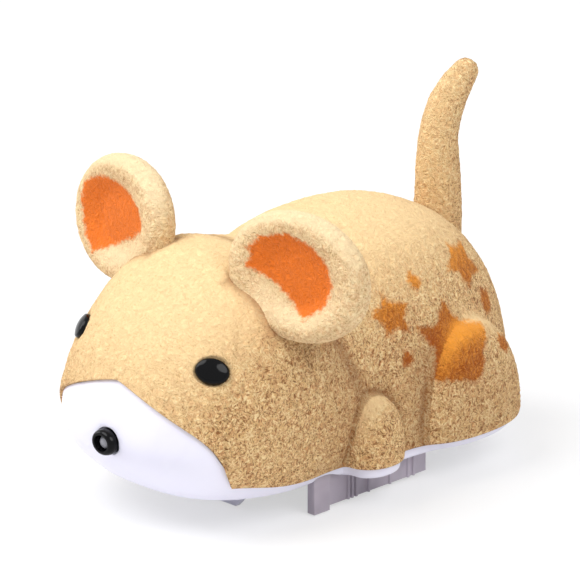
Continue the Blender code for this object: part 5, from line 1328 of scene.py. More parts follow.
def ear_arrays(side):
    """Arrays of one ear: front and back discs that share their edge."""
    share, turn, square, quads = disc_grid(EAR_ROWS)
    ring = np.rint(share * EAR_ROWS).astype(int)
    discs = []
    for front in (1, -1):
        radius, height = ear_profile(front, EAR_ROWS + 1)[ring].T
        discs.append(np.stack((radius * np.cos(turn), radius * np.sin(turn) * EAR_HEIGHT_SHARE, height), -1))
    local = np.concatenate(discs)
    faces = np.concatenate((quads, quads[:, ::-1] + len(share)))
    island = square * (0.25 - BAKE_MARGIN / 2, 0.5 - BAKE_MARGIN)
    uv = np.concatenate((island + (0.25, 0.5), island + (0.75, 0.5)))
    points = moved(facing(EAR_PLACE, EAR_FACING, EAR_RISING), local)
    normal = mesh_normals(points, faces)
    reach = np.hypot(local[:, 0], local[:, 1] / EAR_HEIGHT_SHARE)
    lift = np.maximum(fade_in(reach, EAR_CALM_RADIUS, EAR_CALM_FADE), EAR_CALM_SHARE)
    amount = bpy.context.scene.mouse_flock.pile * EAR_PILE_SHARE
    points = points + normal * (flock_offset(points, amount) * lift)[:, None]
    depth = body_form(points)
    buried = depth < -EAR_BURY
    points[buried] -= slope(points[buried]) * (depth[buried] + EAR_BURY)[:, None]
    patch = inside_distance(local[:, :2] / MM, LEFT_PATCH if side > 0 else RIGHT_PATCH)
    patch = np.where(local[:, 2] > 0, patch, FAR_OUTSIDE)
    # Painted light: ears are paler where they face up and forward
    fields = {"pile": pile_field(points), "patch": patch, "above": 0.35 + 0.65 * painted_light_share(normal),
              "crease": np.zeros(len(points))}
    if side < 0:
        points[:, 0] *= -1
        faces = faces[:, ::-1]
    return points, faces, uv, fields


def mesh_normals(points, faces):
    """Unit normals at the points of quads."""
    first, second, third, fourth = (points[faces[:, i]] for i in range(4))
    across = np.cross(third - first, fourth - second)
    total = np.zeros_like(points)
    for i in range(4):
        np.add.at(total, faces[:, i], across)
    return total / np.maximum(np.linalg.norm(total, axis=1, keepdims=True), TINY)


class MOUSE_OT_ears(bpy.types.Operator):
    """Two dished ears with orange patches"""
    bl_idname = "mouse.ears"
    bl_label = "Ears"

    def execute(self, context):
        for side, name in ((1, "left_ear"), (-1, "right_ear")):
            points, faces, uv, fields = ear_arrays(side)
            item = add_piece(name + "_flock", points, faces, FINISHES["ear_flock"], uv, fields)
            clean_mesh(item, WELD_DISTANCE)
            place_piece(item, "chassis", "ear_flock", name)
        return {"FINISHED"}


def clean_mesh(item, weld=None):
    """Turn every face outward, and with weld join the points that are nearer than it."""
    shape = bmesh.new()
    shape.from_mesh(item.data)
    if weld:
        bmesh.ops.remove_doubles(shape, verts=shape.verts, dist=weld)
    bmesh.ops.recalc_face_normals(shape, faces=shape.faces)
    shape.to_mesh(item.data)
    shape.free()


# Tail

def tail_stations(count):
    """Middle (y, z), lean and radius at even steps from foot to tip."""
    bend = TAIL_BEND_RADIUS * TAIL_BEND_ANGLE
    length = TAIL_STRAIGHT + bend + TAIL_END_LENGTH
    stations = []
    for i in range(count + 1):
        way = length * i / count
        upright = min(way, TAIL_STRAIGHT)
        lean = min(max(way - TAIL_STRAIGHT, 0.0), bend) / TAIL_BEND_RADIUS
        beyond = max(way - TAIL_STRAIGHT - bend, 0.0)
        y = TAIL_Y + TAIL_BEND_RADIUS * (1 - math.cos(lean)) + beyond * math.sin(lean)
        z = TAIL_FOOT_Z + upright + TAIL_BEND_RADIUS * math.sin(lean) + beyond * math.cos(lean)
        radius = TAIL_ROOT_RADIUS * float(np.interp(i / count, TAIL_WAY_SHARES, TAIL_RADIUS_SHARES))
        stations.append((y, z, lean, radius))
    y, z, lean, radius = stations[-1]
    for angle in np.linspace(0, math.pi / 2, 14)[1:-1]:
        reach = radius * math.sin(angle)
        across = radius * math.cos(angle)
        stations.append((y + reach * math.sin(lean), z + reach * math.cos(lean), lean, across))
    return stations, (y + radius * math.sin(lean), z + radius * math.cos(lean))


def tail_arrays():
    """Arrays of the flocked tail: points, faces, bake places and point fields."""
    stations, tip = tail_stations(TAIL_ROWS)
    rows, columns = len(stations), TAIL_COLUMNS
    turn = np.arange(columns) * 2 * np.pi / columns
    rings = []
    for y, z, lean, radius in stations:
        along = radius * np.sin(turn)
        ring = (radius * np.cos(turn), y + along * math.cos(lean), z - along * math.sin(lean))
        rings.append(np.stack(ring, -1))
    points = np.concatenate((*rings, [(0.0, *tip)]))
    quads = tube_grid(rows, columns)
    last = (rows - 1) * columns
    faces = [*quads, *((last + columns, last + i, last + (i + 1) % columns) for i in range(columns))]
    normal = mesh_normals(points, quads)
    normal[-1] = (0.0, math.sin(TAIL_BEND_ANGLE), math.cos(TAIL_BEND_ANGLE))
    outward = np.sum(normal[:, :2] * (points[:, :2] - TAIL_CENTRE)) > 0
    normal = normal if outward else -normal
    free = fade_in(points[:, 2], TAIL_SURFACE_Z, TAIL_SEAT_FADE)
    amount = bpy.context.scene.mouse_flock.pile * TAIL_PILE_SHARE
    points = points + normal * (flock_offset(points, amount) * free - TAIL_FIT * (1 - free))[:, None]
    spots = np.stack(np.meshgrid(np.linspace(0, 1, rows), np.linspace(0, 1, columns), indexing="ij"), -1)
    spots = np.concatenate((spots.reshape(-1, 2), [(1.0, 0.5)]))
    # Painted light on the tail's front side and painted shade on its rear side
    rear = normal[:, 1]
    fields = {"pile": pile_field(points), "above": 0.08 + 0.42 * np.clip(0.35 - rear, 0, 1),
              "crease": 0.28 * np.clip(rear, 0, 1)}
    return points, faces, spots, fields


class MOUSE_OT_tail(bpy.types.Operator):
    """Flocked tail that turns in its seat"""
    bl_idname = "mouse.tail"
    bl_label = "Tail"

    def execute(self, context):
        points, faces, spots, fields = tail_arrays()
        item = add_piece("tail_flock", points, faces, FINISHES["tail_flock"], None, fields)
        clean_mesh(item)
        add_tube_map(item.data, spots, TAIL_COLUMNS)
        place_piece(item, "tail", "flock", "tail")
        return {"FINISHED"}


def add_tube_map(mesh, spots, columns):
    """Bake map of a tube: one island, open along its first column."""
    layer = mesh.uv_layers.new(name="OFBake")
    for face in mesh.polygons:
        places = np.array([spots[index] for index in face.vertices])
        if np.ptp(places[:, 1]) > 0.6:
            places[places[:, 1] < 0.5, 1] = 1 + 1 / columns
        for loop, (along, around) in zip(face.loop_indices, places):
            layer.data[loop].uv = (BAKE_MARGIN + along * 0.98, BAKE_MARGIN + around * 0.96)


# Face

def eye_profile():
    """Half section of an eye button as (radius, height): a sunk foot, a round rim and a low dome."""
    rim, foot = EYE_RADIUS, EYE_SETTLE - EYE_SINK
    shoulder = EYE_DOME * EYE_SHOULDER_SHARE
    profile = [(0.0, foot), (rim * 0.9, foot), (rim * 0.985, -EYE_RIM_DROP), (rim, EYE_RIM_RISE)]
    for turn in np.linspace(math.radians(8.0), EYE_SHOULDER_ANGLE, 9):
        height = shoulder * math.sin(turn) / math.sin(EYE_SHOULDER_ANGLE)
        profile.append((rim * (0.80 + 0.20 * math.cos(turn)), height))
    for share in (0.82, 0.74, 0.64, 0.52, 0.38, 0.24, 0.1):
        fall = (1 - EYE_SHOULDER_SHARE) * (share / 0.9) ** 2.2
        profile.append((rim * share, EYE_DOME * (1 - fall)))
    return [*profile, (0.0, EYE_DOME)]


class MOUSE_OT_eyes(bpy.types.Operator):
    """Two glossy oval eyes"""
    bl_idname = "mouse.eyes"
    bl_label = "Eyes"

    def execute(self, context):
        for side, name in ((1, "left_eye"), (-1, "right_eye")):
            place, outward = surface_point(side * EYE_AZIMUTH, EYE_ELEVATION)
            matrix = facing(place - outward * EYE_SETTLE, outward, (EYE_LEAN * side, 0.0, 1.0))
            shape = lathe(eye_profile(), 56, matrix, squash=EYE_HEIGHT_SHARE * EYE_SQUASH_SHARE)
            item = moulded(name + "_button", shape, FINISHES["black_gloss"], 0.0, 60.0)
            place_piece(item, "chassis", "black_gloss", name)
        return {"FINISHED"}


def nose_rim_profile(bore):
    """Closed section of the nose round its window: a round nose that dips into a funnel."""
    rim, back = NOSE_RADIUS, -NOSE_LENGTH
    profile = [(bore, back * 0.9), (rim * 0.98, back * 0.9), (rim, back * 0.5)]
    for turn in np.linspace(0, math.pi / 2, 9):
        profile.append((rim * (0.72 + 0.28 * math.cos(turn)), back * 0.45 * (1 - math.sin(turn))))
    profile += [(rim * 0.62, -NOSE_LIP_DROP), (bore * 1.22, -NOSE_FUNNEL_DROP)]
    return profile + [(bore * 1.04, back * 0.32), (bore, back * 0.5)]


def nose_window_profile():
    """Half section of the domed sensor window."""
    back = -NOSE_LENGTH
    profile = [(0.0, back * 0.9), (LENS_RADIUS, back * 0.9), (LENS_RADIUS, back * 0.42)]
    for turn in np.linspace(0, math.radians(80.0), 7):
        profile.append((LENS_RADIUS * math.cos(turn), back * 0.42 + LENS_DOME * math.sin(turn)))
    return profile + [(0.0, back * 0.42 + LENS_TIP)]


class MOUSE_OT_nose(bpy.types.Operator):
    """Oval nose rim with its round sensor window"""
    bl_idname = "mouse.nose"
    bl_label = "Nose"

    def execute(self, context):
        matrix = facing((0.0, NOSE_FRONT_Y, NOSE_Z), (0.0, -1.0, 0.0))
        rim = lathe(nose_rim_profile(LENS_RADIUS + GAP), 56, matrix, closed=True, squash=NOSE_HEIGHT_SHARE)
        item = moulded("nose_ring", rim, FINISHES["black_gloss"], 0.0, 50.0)
        place_piece(item, "chassis", "black_gloss", "nose_rim")
        window = lathe(nose_window_profile(), 40, matrix)
        item = moulded("nose_window", window, FINISHES["lens_grey"], 0.0, 50.0)
        place_piece(item, "chassis", "lens_grey", "nose_lens")
        return {"FINISHED"}


# Tray

def tray_skin(columns):
    """The white tray and muzzle before its holes are cut."""
    azimuth = np.arange(columns) * 2 * np.pi / columns
    azimuth = azimuth + 0.11 * np.sin(2 * azimuth)
    seam = seam_height(azimuth) - SEAM_GAP
    hem = np.full(azimuth.shape, HEM_Z)
    rings = [level_ring(azimuth, hem, FLOCK_DEPTH + HEM_ROUND)]
    for angle in (25, 50, 75):
        turn = math.radians(angle)
        inset = FLOCK_DEPTH + HEM_ROUND * (1 - math.sin(turn))
        rings.append(level_ring(azimuth, hem + HEM_ROUND * (1 - math.cos(turn)), inset))
    for share in np.linspace(0, 1, 15):
        rings.append(level_ring(azimuth, hem + HEM_ROUND + (seam - hem - HEM_ROUND) * share, FLOCK_DEPTH))
    for share in (1.0, 0.75, 0.5, 0.25, 0.0):
        height = FLOOR_TOP_Z + (seam - FLOOR_TOP_Z) * share
        rings.append(level_ring(azimuth, height, FLOCK_DEPTH + WALL))
    shape = bmesh.new()
    made = [[shape.verts.new(point) for point in ring] for ring in rings]
    for low, high in zip(made, made[1:]):
        for i in range(columns):
            j = (i + 1) % columns
            shape.faces.new((low[i], low[j], high[j], high[i]))
    shape.faces.new(made[0])
    shape.faces.new(made[-1])
    bmesh.ops.recalc_face_normals(shape, faces=shape.faces)
    return shape


def post_places():
    """Screw places of the case."""
    return [(side * x, y) for x, y in (FRONT_POST_PLACE, REAR_POST_PLACE) for side in (1, -1)]


def tab_screw_places():
    """Screws through the tray floor into the pod's tabs."""
    ys = (POD_FRONT_Y - TAB_LENGTH / 2, POD_REAR_Y + TAB_LENGTH / 2)
    return [(side * TAB_SCREW_X, y) for y in ys for side in (1, -1)]


def skid_tab(side, grow, extra):
    """A tab of the front skid, and with grow its slot in the floor."""
    half_x = SKID_TAB_WIDTH / 2 + grow
    half_y = SKID_THICKNESS / 2 + grow
    x = side * SKID_TAB_PLACE
    low = (x - half_x, SKID_Y - half_y, HEM_Z - SKID_THICKNESS - extra)
    high = (x + half_x, SKID_Y + half_y, FLOOR_TOP_Z + SKID_THICKNESS + extra)
    return box(low, high)


class MOUSE_OT_tray(bpy.types.Operator):
    """White muzzle and tray with every opening in its floor"""
    bl_idname = "mouse.tray"
    bl_label = "Tray and muzzle"

    def execute(self, context):
        low = HEM_Z - OVERRUN
        high = FLOOR_TOP_Z + OVERRUN
        x = POD_OUTER_X + FOOT_PROUD + GAP
        middle = (POD_FRONT_Y + POD_REAR_Y) / 2
        half = (POD_REAR_Y - POD_FRONT_Y) / 2 + GAP
        outline = rounded_outline(x, half, POD_OPENING_CORNER, 5, (0.0, middle))
        shape = less(tray_skin(192), prism(outline, low, high))
        housing = rod(HEM_Z + HOUSING_LAP, HOUSING_TOP_Z, HOUSING_RADIUS, (0.0, CASTER_Y), count=48)
        posts = []
        for side in (1, -1):
            place = (side * BOARD_POST_PLACE[0], BOARD_POST_PLACE[1])
            posts.append(rod(HEM_Z + BOARD_POST_LAP, BOARD_Z - GAP, BOARD_POST_RADIUS, place, count=20))
        shape = plus(shape, housing, *posts)
        room = HOUSING_RADIUS - HOUSING_WALL
        holes = [rod(low, HOUSING_TOP_Z - HOUSING_WALL, room, (0.0, CASTER_Y), count=48),
                 rod(low, HOUSING_TOP_Z + OVERRUN, CASTER_PIN_HOLE_RADIUS, (0.0, CASTER_Y), count=24)]
        half_x, half_y = (size / 2 + GAP for size in SOCKET_SIZE)
        socket = rounded_outline(half_x, half_y, half_y * 0.9, centre=(SOCKET_X, BOARD_Y))
        holes.append(prism(socket, low, high))
        half_x = SLIDER_SIZE[0] / 2 + GAP
        half_y = (SLIDER_SIZE[1] + SWITCH_TRAVEL) / 2 + GAP
        slot = rounded_outline(half_x, half_y, SLOT_CORNER, 4, (SWITCH_X, BOARD_Y + SWITCH_TRAVEL / 2))
        holes.append(prism(slot, low, high))
        holes += [skid_tab(side, GAP, OVERRUN) for side in (1, -1)]
        places = post_places() + tab_screw_places()
        holes += [rod(low, high, SCREW_RADIUS + GAP, place, count=20) for place in places]
        matrix = facing((0.0, NOSE_FRONT_Y, NOSE_Z), (0.0, -1.0, 0.0))
        reach = -NOSE_LENGTH - GAP
        radius = NOSE_RADIUS + GAP
        holes.append(lathe(((radius, reach), (radius, OVERRUN)), 48, matrix, squash=NOSE_HEIGHT_SHARE))
        radius = SENSOR_HOLE_RADIUS
        holes.append(lathe(((radius, reach - OVERRUN), (radius, OVERRUN)), 32, matrix))
        item = moulded("white_tray", less(shape, *holes), FINISHES["white_plastic"], TRAY_EDGE, 35.0)
        place_piece(item, "chassis", "white_plastic", "lower_tray")
        return {"FINISHED"}


# Pod, skid and screws

def skirt(side):
    """Ribbed side wall of the pod with its front foot."""
    inner = POD_OUTER_X - SKIRT_THICKNESS
    outer = POD_OUTER_X
    points = [(inner, POD_REAR_Y), (inner, POD_FRONT_Y), (outer, POD_FRONT_Y)]
    for place in RIB_PLACES:
        low, high = place - RIB_WIDTH / 2, place + RIB_WIDTH / 2
        points += [(outer, low), (outer + RIB_HEIGHT, low + RIB_WIDTH * 0.15),
                   (outer + RIB_HEIGHT, high - RIB_WIDTH * 0.15), (outer, high)]
    points.append((outer, POD_REAR_Y))
    top = DECK_LOW_Z + LAP
    wall = prism(points, SKIRT_CLEAR_Z, top)
    foot = box((inner, POD_FRONT_Y, FOOT_CLEAR_Z), (outer + FOOT_PROUD, POD_FRONT_Y + FOOT_LENGTH, top))
    return mirrored(plus(wall, foot), side)


class MOUSE_OT_pod(bpy.types.Operator):
    """Grey drive pod with ribbed skirts and feet"""
    bl_idname = "mouse.pod"
    bl_label = "Drive pod"

    def execute(self, context):
        x = POD_OUTER_X
        deck = box((-x, POD_FRONT_Y, DECK_LOW_Z), (x, POD_REAR_Y, DECK_HIGH_Z))
        tabs = box((-TAB_HALF_WIDTH, POD_FRONT_Y - TAB_LENGTH, DECK_LOW_Z),
                   (TAB_HALF_WIDTH, POD_REAR_Y + TAB_LENGTH, DECK_HIGH_Z))
        half = KEEL_HALF_WIDTH
        keel = box((-half, KEEL_FRONT_Y, KEEL_CLEAR_Z), (half, KEEL_REAR_Y, DECK_LOW_Z + LAP))
        bosses = [rod(DECK_LOW_Z, DECK_HIGH_Z + BOSS_HEIGHT, BOSS_RADIUS, place, count=24)
                  for place in tab_screw_places()]
        shape = plus(deck, tabs, keel, skirt(1), skirt(-1), *bosses)
        half -= KEEL_WALL
        inside = box((-half, KEEL_FRONT_Y + KEEL_WALL, KEEL_CLEAR_Z + KEEL_WALL),
                     (half, KEEL_REAR_Y - KEEL_WALL, DECK_HIGH_Z + OVERRUN))
        wells = []
        low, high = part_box("left_gear_cover")
        wheel_low, wheel_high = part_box("left_tyre")
        for side in (1, -1):
            front = min(low[1], wheel_low[1]) - 2 * GAP
            rear = max(high[1], wheel_high[1]) + 2 * GAP
            wells.append(mirrored(box((WHEEL_INNER_X - WHEEL_WELL_GAP, front, 0.0),
                                      (WHEEL_WELL_OUTER_X, rear, DECK_HIGH_Z + OVERRUN)), side))
        axle = rod(-WHEEL_INNER_X, WHEEL_INNER_X, SHAFT_RADIUS + BORE_GAP, (AXLE_Y, WHEEL_RADIUS), "X", 24)
        holes = [rod(DECK_LOW_Z - OVERRUN, DECK_HIGH_Z + OVERRUN, SCREW_RADIUS + GAP, place, count=16)
                 for place in tab_screw_places()]
        shape = less(shape, inside, *wells, axle, *holes)
        item = moulded("pod_casing", shape, FINISHES["grey_plastic"], POD_EDGE)
        place_piece(item, "chassis", "grey_plastic", "drive_pod")
        return {"FINISHED"}


def treaded_tyre():
    """Tyre of the left wheel with slanted blocks on both sides of a middle groove."""
    low, high = WHEEL_INNER_X, WHEEL_INNER_X + WHEEL_WIDTH
    middle = (low + high) / 2
    seat = WHEEL_RADIUS - TYRE_THICKNESS + TYRE_SEAT_GAP
    shoulder = TYRE_THICKNESS * 0.3
    outer, groove = WHEEL_RADIUS, TREAD_GROOVE
    side = [(seat, low), (outer - shoulder, low), (outer - TREAD_ROUND, low + shoulder * 0.7),
            (outer, low + shoulder), (outer, middle - groove), (outer - groove * 1.6, middle - groove * 0.5)]
    profile = side + [(radius, low + high - height) for radius, height in reversed(side)]
    matrix = facing((0.0, AXLE_Y, WHEEL_RADIUS), (1.0, 0.0, 0.0))
    shape = lathe(profile, TREAD_STEPS * 3, matrix, closed=True)
    for vert in shape.verts:
        y, z = vert.co.y - AXLE_Y, vert.co.z - WHEEL_RADIUS
        radius = math.hypot(y, z)
        turn = math.atan2(z, y) / (2 * math.pi) + abs(vert.co.x - middle) * TREAD_SLANT
        if radius > outer - 0.05 * MM and math.floor(turn * TREAD_STEPS) % 2:
            vert.co.y = AXLE_Y + y * (1 - TREAD_DEPTH / radius)
            vert.co.z = WHEEL_RADIUS + z * (1 - TREAD_DEPTH / radius)
    return shape


def spoked_hub():
    """Hub of the left wheel, with round openings in its sunk web."""
    low, high = WHEEL_INNER_X, WHEEL_INNER_X + WHEEL_WIDTH
    rim = WHEEL_RADIUS - TYRE_THICKNESS
    bore = SHAFT_RADIUS + BORE_GAP
    dish = WHEEL_WIDTH * 0.3
    profile = [(bore, low), (rim, low), (rim, high), (rim * 0.86, high), (rim * 0.8, high - dish),
               (rim * 0.36, high - dish), (rim * 0.3, high), (bore, high)]
    shape = lathe(profile, 72, facing((0.0, AXLE_Y, WHEEL_RADIUS), (1.0, 0.0, 0.0)), closed=True)
    places = circle((AXLE_Y, WHEEL_RADIUS), rim * 0.58, HUB_OPENINGS)
    return less(shape, *[rod(low - OVERRUN, high + OVERRUN, rim * 0.17, place, "X", 20) for place in places])


class MOUSE_OT_wheels(bpy.types.Operator):
    """Treaded tyres on hubs with round openings"""
    bl_idname = "mouse.wheels"
    bl_label = "Drive wheels"

    def execute(self, context):
        for side, name in ((1, "left"), (-1, "right")):
            tyre = moulded(name + "_tread", mirrored(treaded_tyre(), side), FINISHES["rubber"], 0.0, 30.0)
            place_piece(tyre, name + "_wheel", "rubber", name + "_tyre")
            hub = mirrored(spoked_hub(), side)
            hub = moulded(name + "_hub_web", hub, FINISHES["white_plastic"], HUB_EDGE)
            place_piece(hub, name + "_wheel", "white_plastic", name + "_wheel_hub")
        return {"FINISHED"}


class MOUSE_OT_skid(bpy.types.Operator):
    """Thin blade under the chin"""
    bl_idname = "mouse.skid"
    bl_label = "Front skid"

    def execute(self, context):
        half = SKID_HALF_WIDTH
        top = HEM_Z - GAP
        corner = SKID_THICKNESS
        outline = [(-half, top), (-half, SKID_CLEAR_Z + corner), (-half + corner, SKID_CLEAR_Z),
                   (half - corner, SKID_CLEAR_Z), (half, SKID_CLEAR_Z + corner), (half, top)]
        half_y = SKID_THICKNESS / 2
        blade = prism(outline, SKID_Y - half_y, SKID_Y + half_y, "Y")
        shape = plus(blade, skid_tab(1, 0.0, 0.0), skid_tab(-1, 0.0, 0.0))
        item = moulded("chin_skid", shape, FINISHES["white_plastic"], SKID_EDGE)
        place_piece(item, "chassis", "white_plastic", "front_skid")
        return {"FINISHED"}


def pan_head_screw(name, low, high, up):
    """A pan head screw inside its packed box, with a cross recess in its head."""
    middle = ((low[0] + high[0]) / 2, (low[1] + high[1]) / 2, low[2] if up else high[2])
    head, radius = SCREW_HEAD_HEIGHT, SCREW_HEAD_RADIUS
    length = high[2] - low[2] - head
    profile = [(0.0, 0.0), *((radius * out, head * back) for out, back in SCREW_HEAD_SHARES)]
    profile.append((SCREW_RADIUS, head))
    pitch = length * 0.72 / SCREW_TURNS
    root = SCREW_RADIUS * 0.78
    for i in range(SCREW_TURNS):
        start = head + length * (0.12 + 0.72 * i / SCREW_TURNS)
        profile += [(root, start), (SCREW_RADIUS, start + pitch * 0.4), (root, start + pitch * 0.8)]
    profile += [(SCREW_RADIUS * 0.7, head + length * 0.87), (0.0, head + length)]
    matrix = facing(middle, (0.0, 0.0, 1.0 if up else -1.0), (0.0, 1.0, 0.0))
    shape = lathe(profile, 24, matrix)
    arm, wide, deep = radius * 0.55, radius * 0.14, SCREW_CROSS_DEPTH
    inward = 1 if up else -1
    ends = sorted((middle[2] + deep * inward, middle[2] - deep * 4 * inward))
    cross = [box((middle[0] - arm, middle[1] - wide, ends[0]), (middle[0] + arm, middle[1] + wide, ends[1])),
             box((middle[0] - wide, middle[1] - arm, ends[0]), (middle[0] + wide, middle[1] + arm, ends[1]))]
    return moulded(name, less(shape, *cross), FINISHES["steel"], 0.0, 30.0)


class MOUSE_OT_screws(bpy.types.Operator):
    """Pan head screws of case, pod and gearboxes"""
    bl_idname = "mouse.screws"
    bl_label = "Screws"

    def execute(self, context):
        for kind, up in (("case", True), ("pod", True), ("gearbox", False)):
            for side in ("left", "right"):
                for end in ("front", "rear"):
                    node = f"{kind}_screw_{side}_{end}"
                    item = pan_head_screw(node + "_cross", *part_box(node), up)
                    place_piece(item, "chassis", "steel", node)
        return {"FINISHED"}


# Stage

def seen_directly(tree):
    """One on rays from the camera, also by way of gloss and clear pieces."""
    path = tree.nodes.new("ShaderNodeLightPath")
    seen = math_node(tree, "MAXIMUM", path.outputs["Is Camera Ray"], path.outputs["Is Glossy Ray"])
    return math_node(tree, "MAXIMUM", seen, path.outputs["Is Transmission Ray"])


class MOUSE_OT_stage(bpy.types.Operator):
    """Pale floor, soft studio light and the camera"""
    bl_idname = "mouse.stage"
    bl_label = "Floor, light and camera"

    def execute(self, context):
        settings = context.scene.mouse_stage
        self.make_floor()
        self.make_lights(settings)
        self.make_camera(settings)
        return {"FINISHED"}

    def make_floor(self):
        """A wide pale sheet whose far background is white, and that takes the toy's shadow."""
        mesh = bpy.data.meshes.new("floor")
        corners = [(x * FLOOR_HALF, y * FLOOR_HALF, 0) for x, y in ((-1, -1), (1, -1), (1, 1), (-1, 1))]
        mesh.from_pydata(corners, [], [(0, 1, 2, 3)])
        floor = bpy.data.objects.new("floor", mesh)
        bpy.context.collection.objects.link(floor)
        material, tree, shader = new_material("pale floor", (0.93, 0.93, 0.94))
        paper = mix_colour(tree, object_noise(tree, 40.0, 4.0), (0.90, 0.90, 0.91), (0.93, 0.93, 0.94))
        tree.links.new(paper, shader.inputs["Base Color"])
        white = tree.nodes.new("ShaderNodeEmission")
        lifted = tree.nodes.new("ShaderNodeMixShader")
        tree.links.new(math_node(tree, "MULTIPLY", seen_directly(tree), 0.55), lifted.inputs[0])
        tree.links.new(shader.outputs[0], lifted.inputs[1])
        tree.links.new(white.outputs[0], lifted.inputs[2])
        tree.links.new(lifted.outputs[0], tree.nodes["Material Output"].inputs["Surface"])
        shader.inputs["Roughness"].default_value = 0.9
        shader.inputs["Specular IOR Level"].default_value = 0.1
        mesh.materials.append(material)

    def make_lights(self, settings):
        """Four soft round lamps (key, fill, side and back) and a white surround."""
        world = bpy.data.worlds.new("white surround")
        bpy.context.scene.world = world
        world.use_nodes = True
        tree = world.node_tree
        tree.nodes.clear()
        out = tree.nodes.new("ShaderNodeOutputWorld")
        plain = tree.nodes.new("ShaderNodeBackground")
        white = tree.nodes.new("ShaderNodeBackground")
        plain.inputs["Color"].default_value = (0.95, 0.97, 1.0, 1.0)
        plain.inputs["Strength"].default_value = settings.surround
        white.inputs["Color"].default_value = (1.0, 1.0, 1.0, 1.0)
        white.inputs["Strength"].default_value = 1.0
        mix = tree.nodes.new("ShaderNodeMixShader")
        tree.links.new(seen_directly(tree), mix.inputs[0])
        tree.links.new(plain.outputs[0], mix.inputs[1])
        tree.links.new(white.outputs[0], mix.inputs[2])
        tree.links.new(mix.outputs[0], out.inputs[0])
        lamps = (("key lamp", KEY_LAMP_PLACE, KEY_LAMP_SIZE, settings.key),
                 ("fill lamp", FILL_LAMP_PLACE, SMALL_LAMP_SIZE, settings.fill),
                 ("side lamp", SIDE_LAMP_PLACE, SMALL_LAMP_SIZE, settings.side),
                 ("back lamp", BACK_LAMP_PLACE, SMALL_LAMP_SIZE, settings.back))
        for name, place, size, watts in lamps:
            lamp = bpy.data.lights.new(name, "AREA")
            lamp.shape = "DISK"
            lamp.size = size
            lamp.energy = watts
            item = bpy.data.objects.new(name, lamp)
            item.location = place
            aim = Vector((0.0, 0.0, LAMP_AIM_Z)) - Vector(place)
            item.rotation_euler = aim.to_track_quat("-Z", "Y").to_euler()
            bpy.context.collection.objects.link(item)

    def make_camera(self, settings):
        """A long lens that looks at the toy's middle from its left front."""
        lens = bpy.data.cameras.new("camera")
        lens.lens = settings.lens
        lens.sensor_width = SENSOR_WIDTH
        camera = bpy.data.objects.new("camera", lens)
        bpy.context.collection.objects.link(camera)
        aim = Vector((0.0, 0.0, VIEW_AIM_Z))
        way = directions(np.array(VIEW_AZIMUTH), np.array(VIEW_ELEVATION))
        distance = settings.view_width * settings.lens / lens.sensor_width
        camera.location = aim + Vector(way) * distance
        camera.rotation_euler = (aim - camera.location).to_track_quat("-Z", "Y").to_euler()
        lens.clip_start = 0.01
        lens.clip_end = 20.0
        bpy.context.scene.camera = camera
        bpy.context.scene.view_settings.view_transform = "Standard"


# Settings, panel and start

class MouseFlock(bpy.types.PropertyGroup):
    """Size of the flock's fibres and how finely they are built"""
    pile: FloatProperty(name="Pile", description="How far the flock's tips stand over its gaps",
                        default=0.2 * MM, min=0.0, max=1.0 * MM, unit="LENGTH", precision=5)
    tuft_spacing: FloatProperty(name="Tuft spacing", description="Distance between tufts of fibres",
                                default=0.95 * MM, min=0.3 * MM, max=3.0 * MM, unit="LENGTH", precision=5)
    grain: FloatProperty(name="Grain", description="Fineness of the fibres' colours, in cells per metre",
                         default=2500.0, min=200.0, max=6000.0)
    rows: IntProperty(name="Rows", description="Rows of the shell's mesh from its crown to its seam",
                      default=200, min=40, max=220)


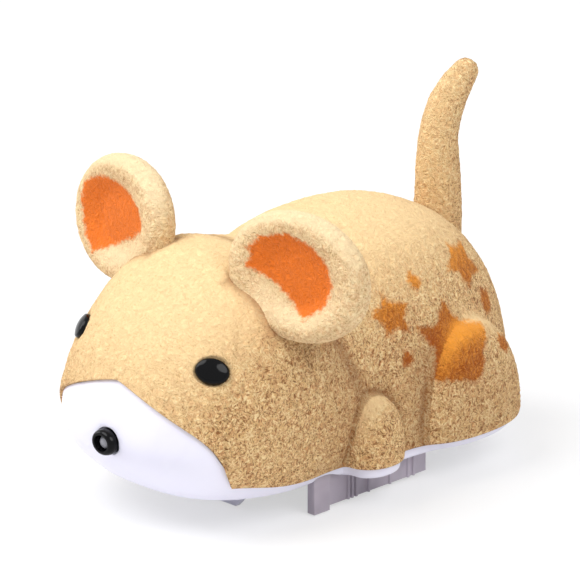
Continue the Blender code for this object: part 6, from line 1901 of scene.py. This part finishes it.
class MouseStage(bpy.types.PropertyGroup):
    """Light and camera"""
    key: FloatProperty(name="Key lamp", description="Power of the main lamp in watts", default=6.8, min=0.0)
    fill: FloatProperty(name="Fill lamp", description="Power of the fill lamp in watts", default=3.3, min=0.0)
    side: FloatProperty(name="Side lamp", description="Power of the low lamp on the far side in watts",
                        default=2.3, min=0.0)
    back: FloatProperty(name="Back lamp", description="Power of the back lamp in watts", default=1.5, min=0.0)
    surround: FloatProperty(name="Surround", description="Strength of the white surround's light",
                            default=0.35, min=0.0)
    lens: FloatProperty(name="Lens", description="Focal length of the camera in millimetres",
                        default=500.0, min=50.0)
    view_width: FloatProperty(name="View width", description="Width of the view at the toy's middle",
                              default=133.95 * MM, min=0.01, unit="LENGTH")


class MOUSE_PT_panel(bpy.types.Panel):
    """Lists the pieces of the toy"""
    bl_label = "Mouse toy"
    bl_idname = "MOUSE_PT_panel"
    bl_space_type = "VIEW_3D"
    bl_region_type = "UI"
    bl_category = "Mouse toy"

    def draw(self, context):
        layout = self.layout
        for group in (context.scene.mouse_flock, context.scene.mouse_stage):
            column = layout.column(align=True)
            for name in group.bl_rna.properties.keys():
                if name not in ("rna_type", "name"):
                    column.prop(group, name)
        for piece in PIECES:
            layout.operator(piece.bl_idname)


PIECES = (MOUSE_OT_shell, MOUSE_OT_ears, MOUSE_OT_tail, MOUSE_OT_eyes, MOUSE_OT_nose, MOUSE_OT_tray,
          MOUSE_OT_pod, MOUSE_OT_wheels, MOUSE_OT_skid, MOUSE_OT_screws, MOUSE_OT_stage)
CLASSES = (MouseFlock, MouseStage, *PIECES, MOUSE_PT_panel)


def register():
    """Add the settings, operators and panel."""
    for item in CLASSES:
        bpy.utils.register_class(item)
    bpy.types.Scene.mouse_flock = PointerProperty(type=MouseFlock)
    bpy.types.Scene.mouse_stage = PointerProperty(type=MouseStage)


def unregister():
    """Take the settings, operators and panel away again."""
    del bpy.types.Scene.mouse_stage
    del bpy.types.Scene.mouse_flock
    for item in reversed(CLASSES):
        bpy.utils.unregister_class(item)


def main():
    """Build every piece in order."""
    register()
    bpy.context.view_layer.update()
    make_finishes()
    for piece in PIECES:
        group, name = piece.bl_idname.split(".")
        getattr(getattr(bpy.ops, group), name)()
    finish_packed_nodes()


if __name__ == "__main__":
    main()
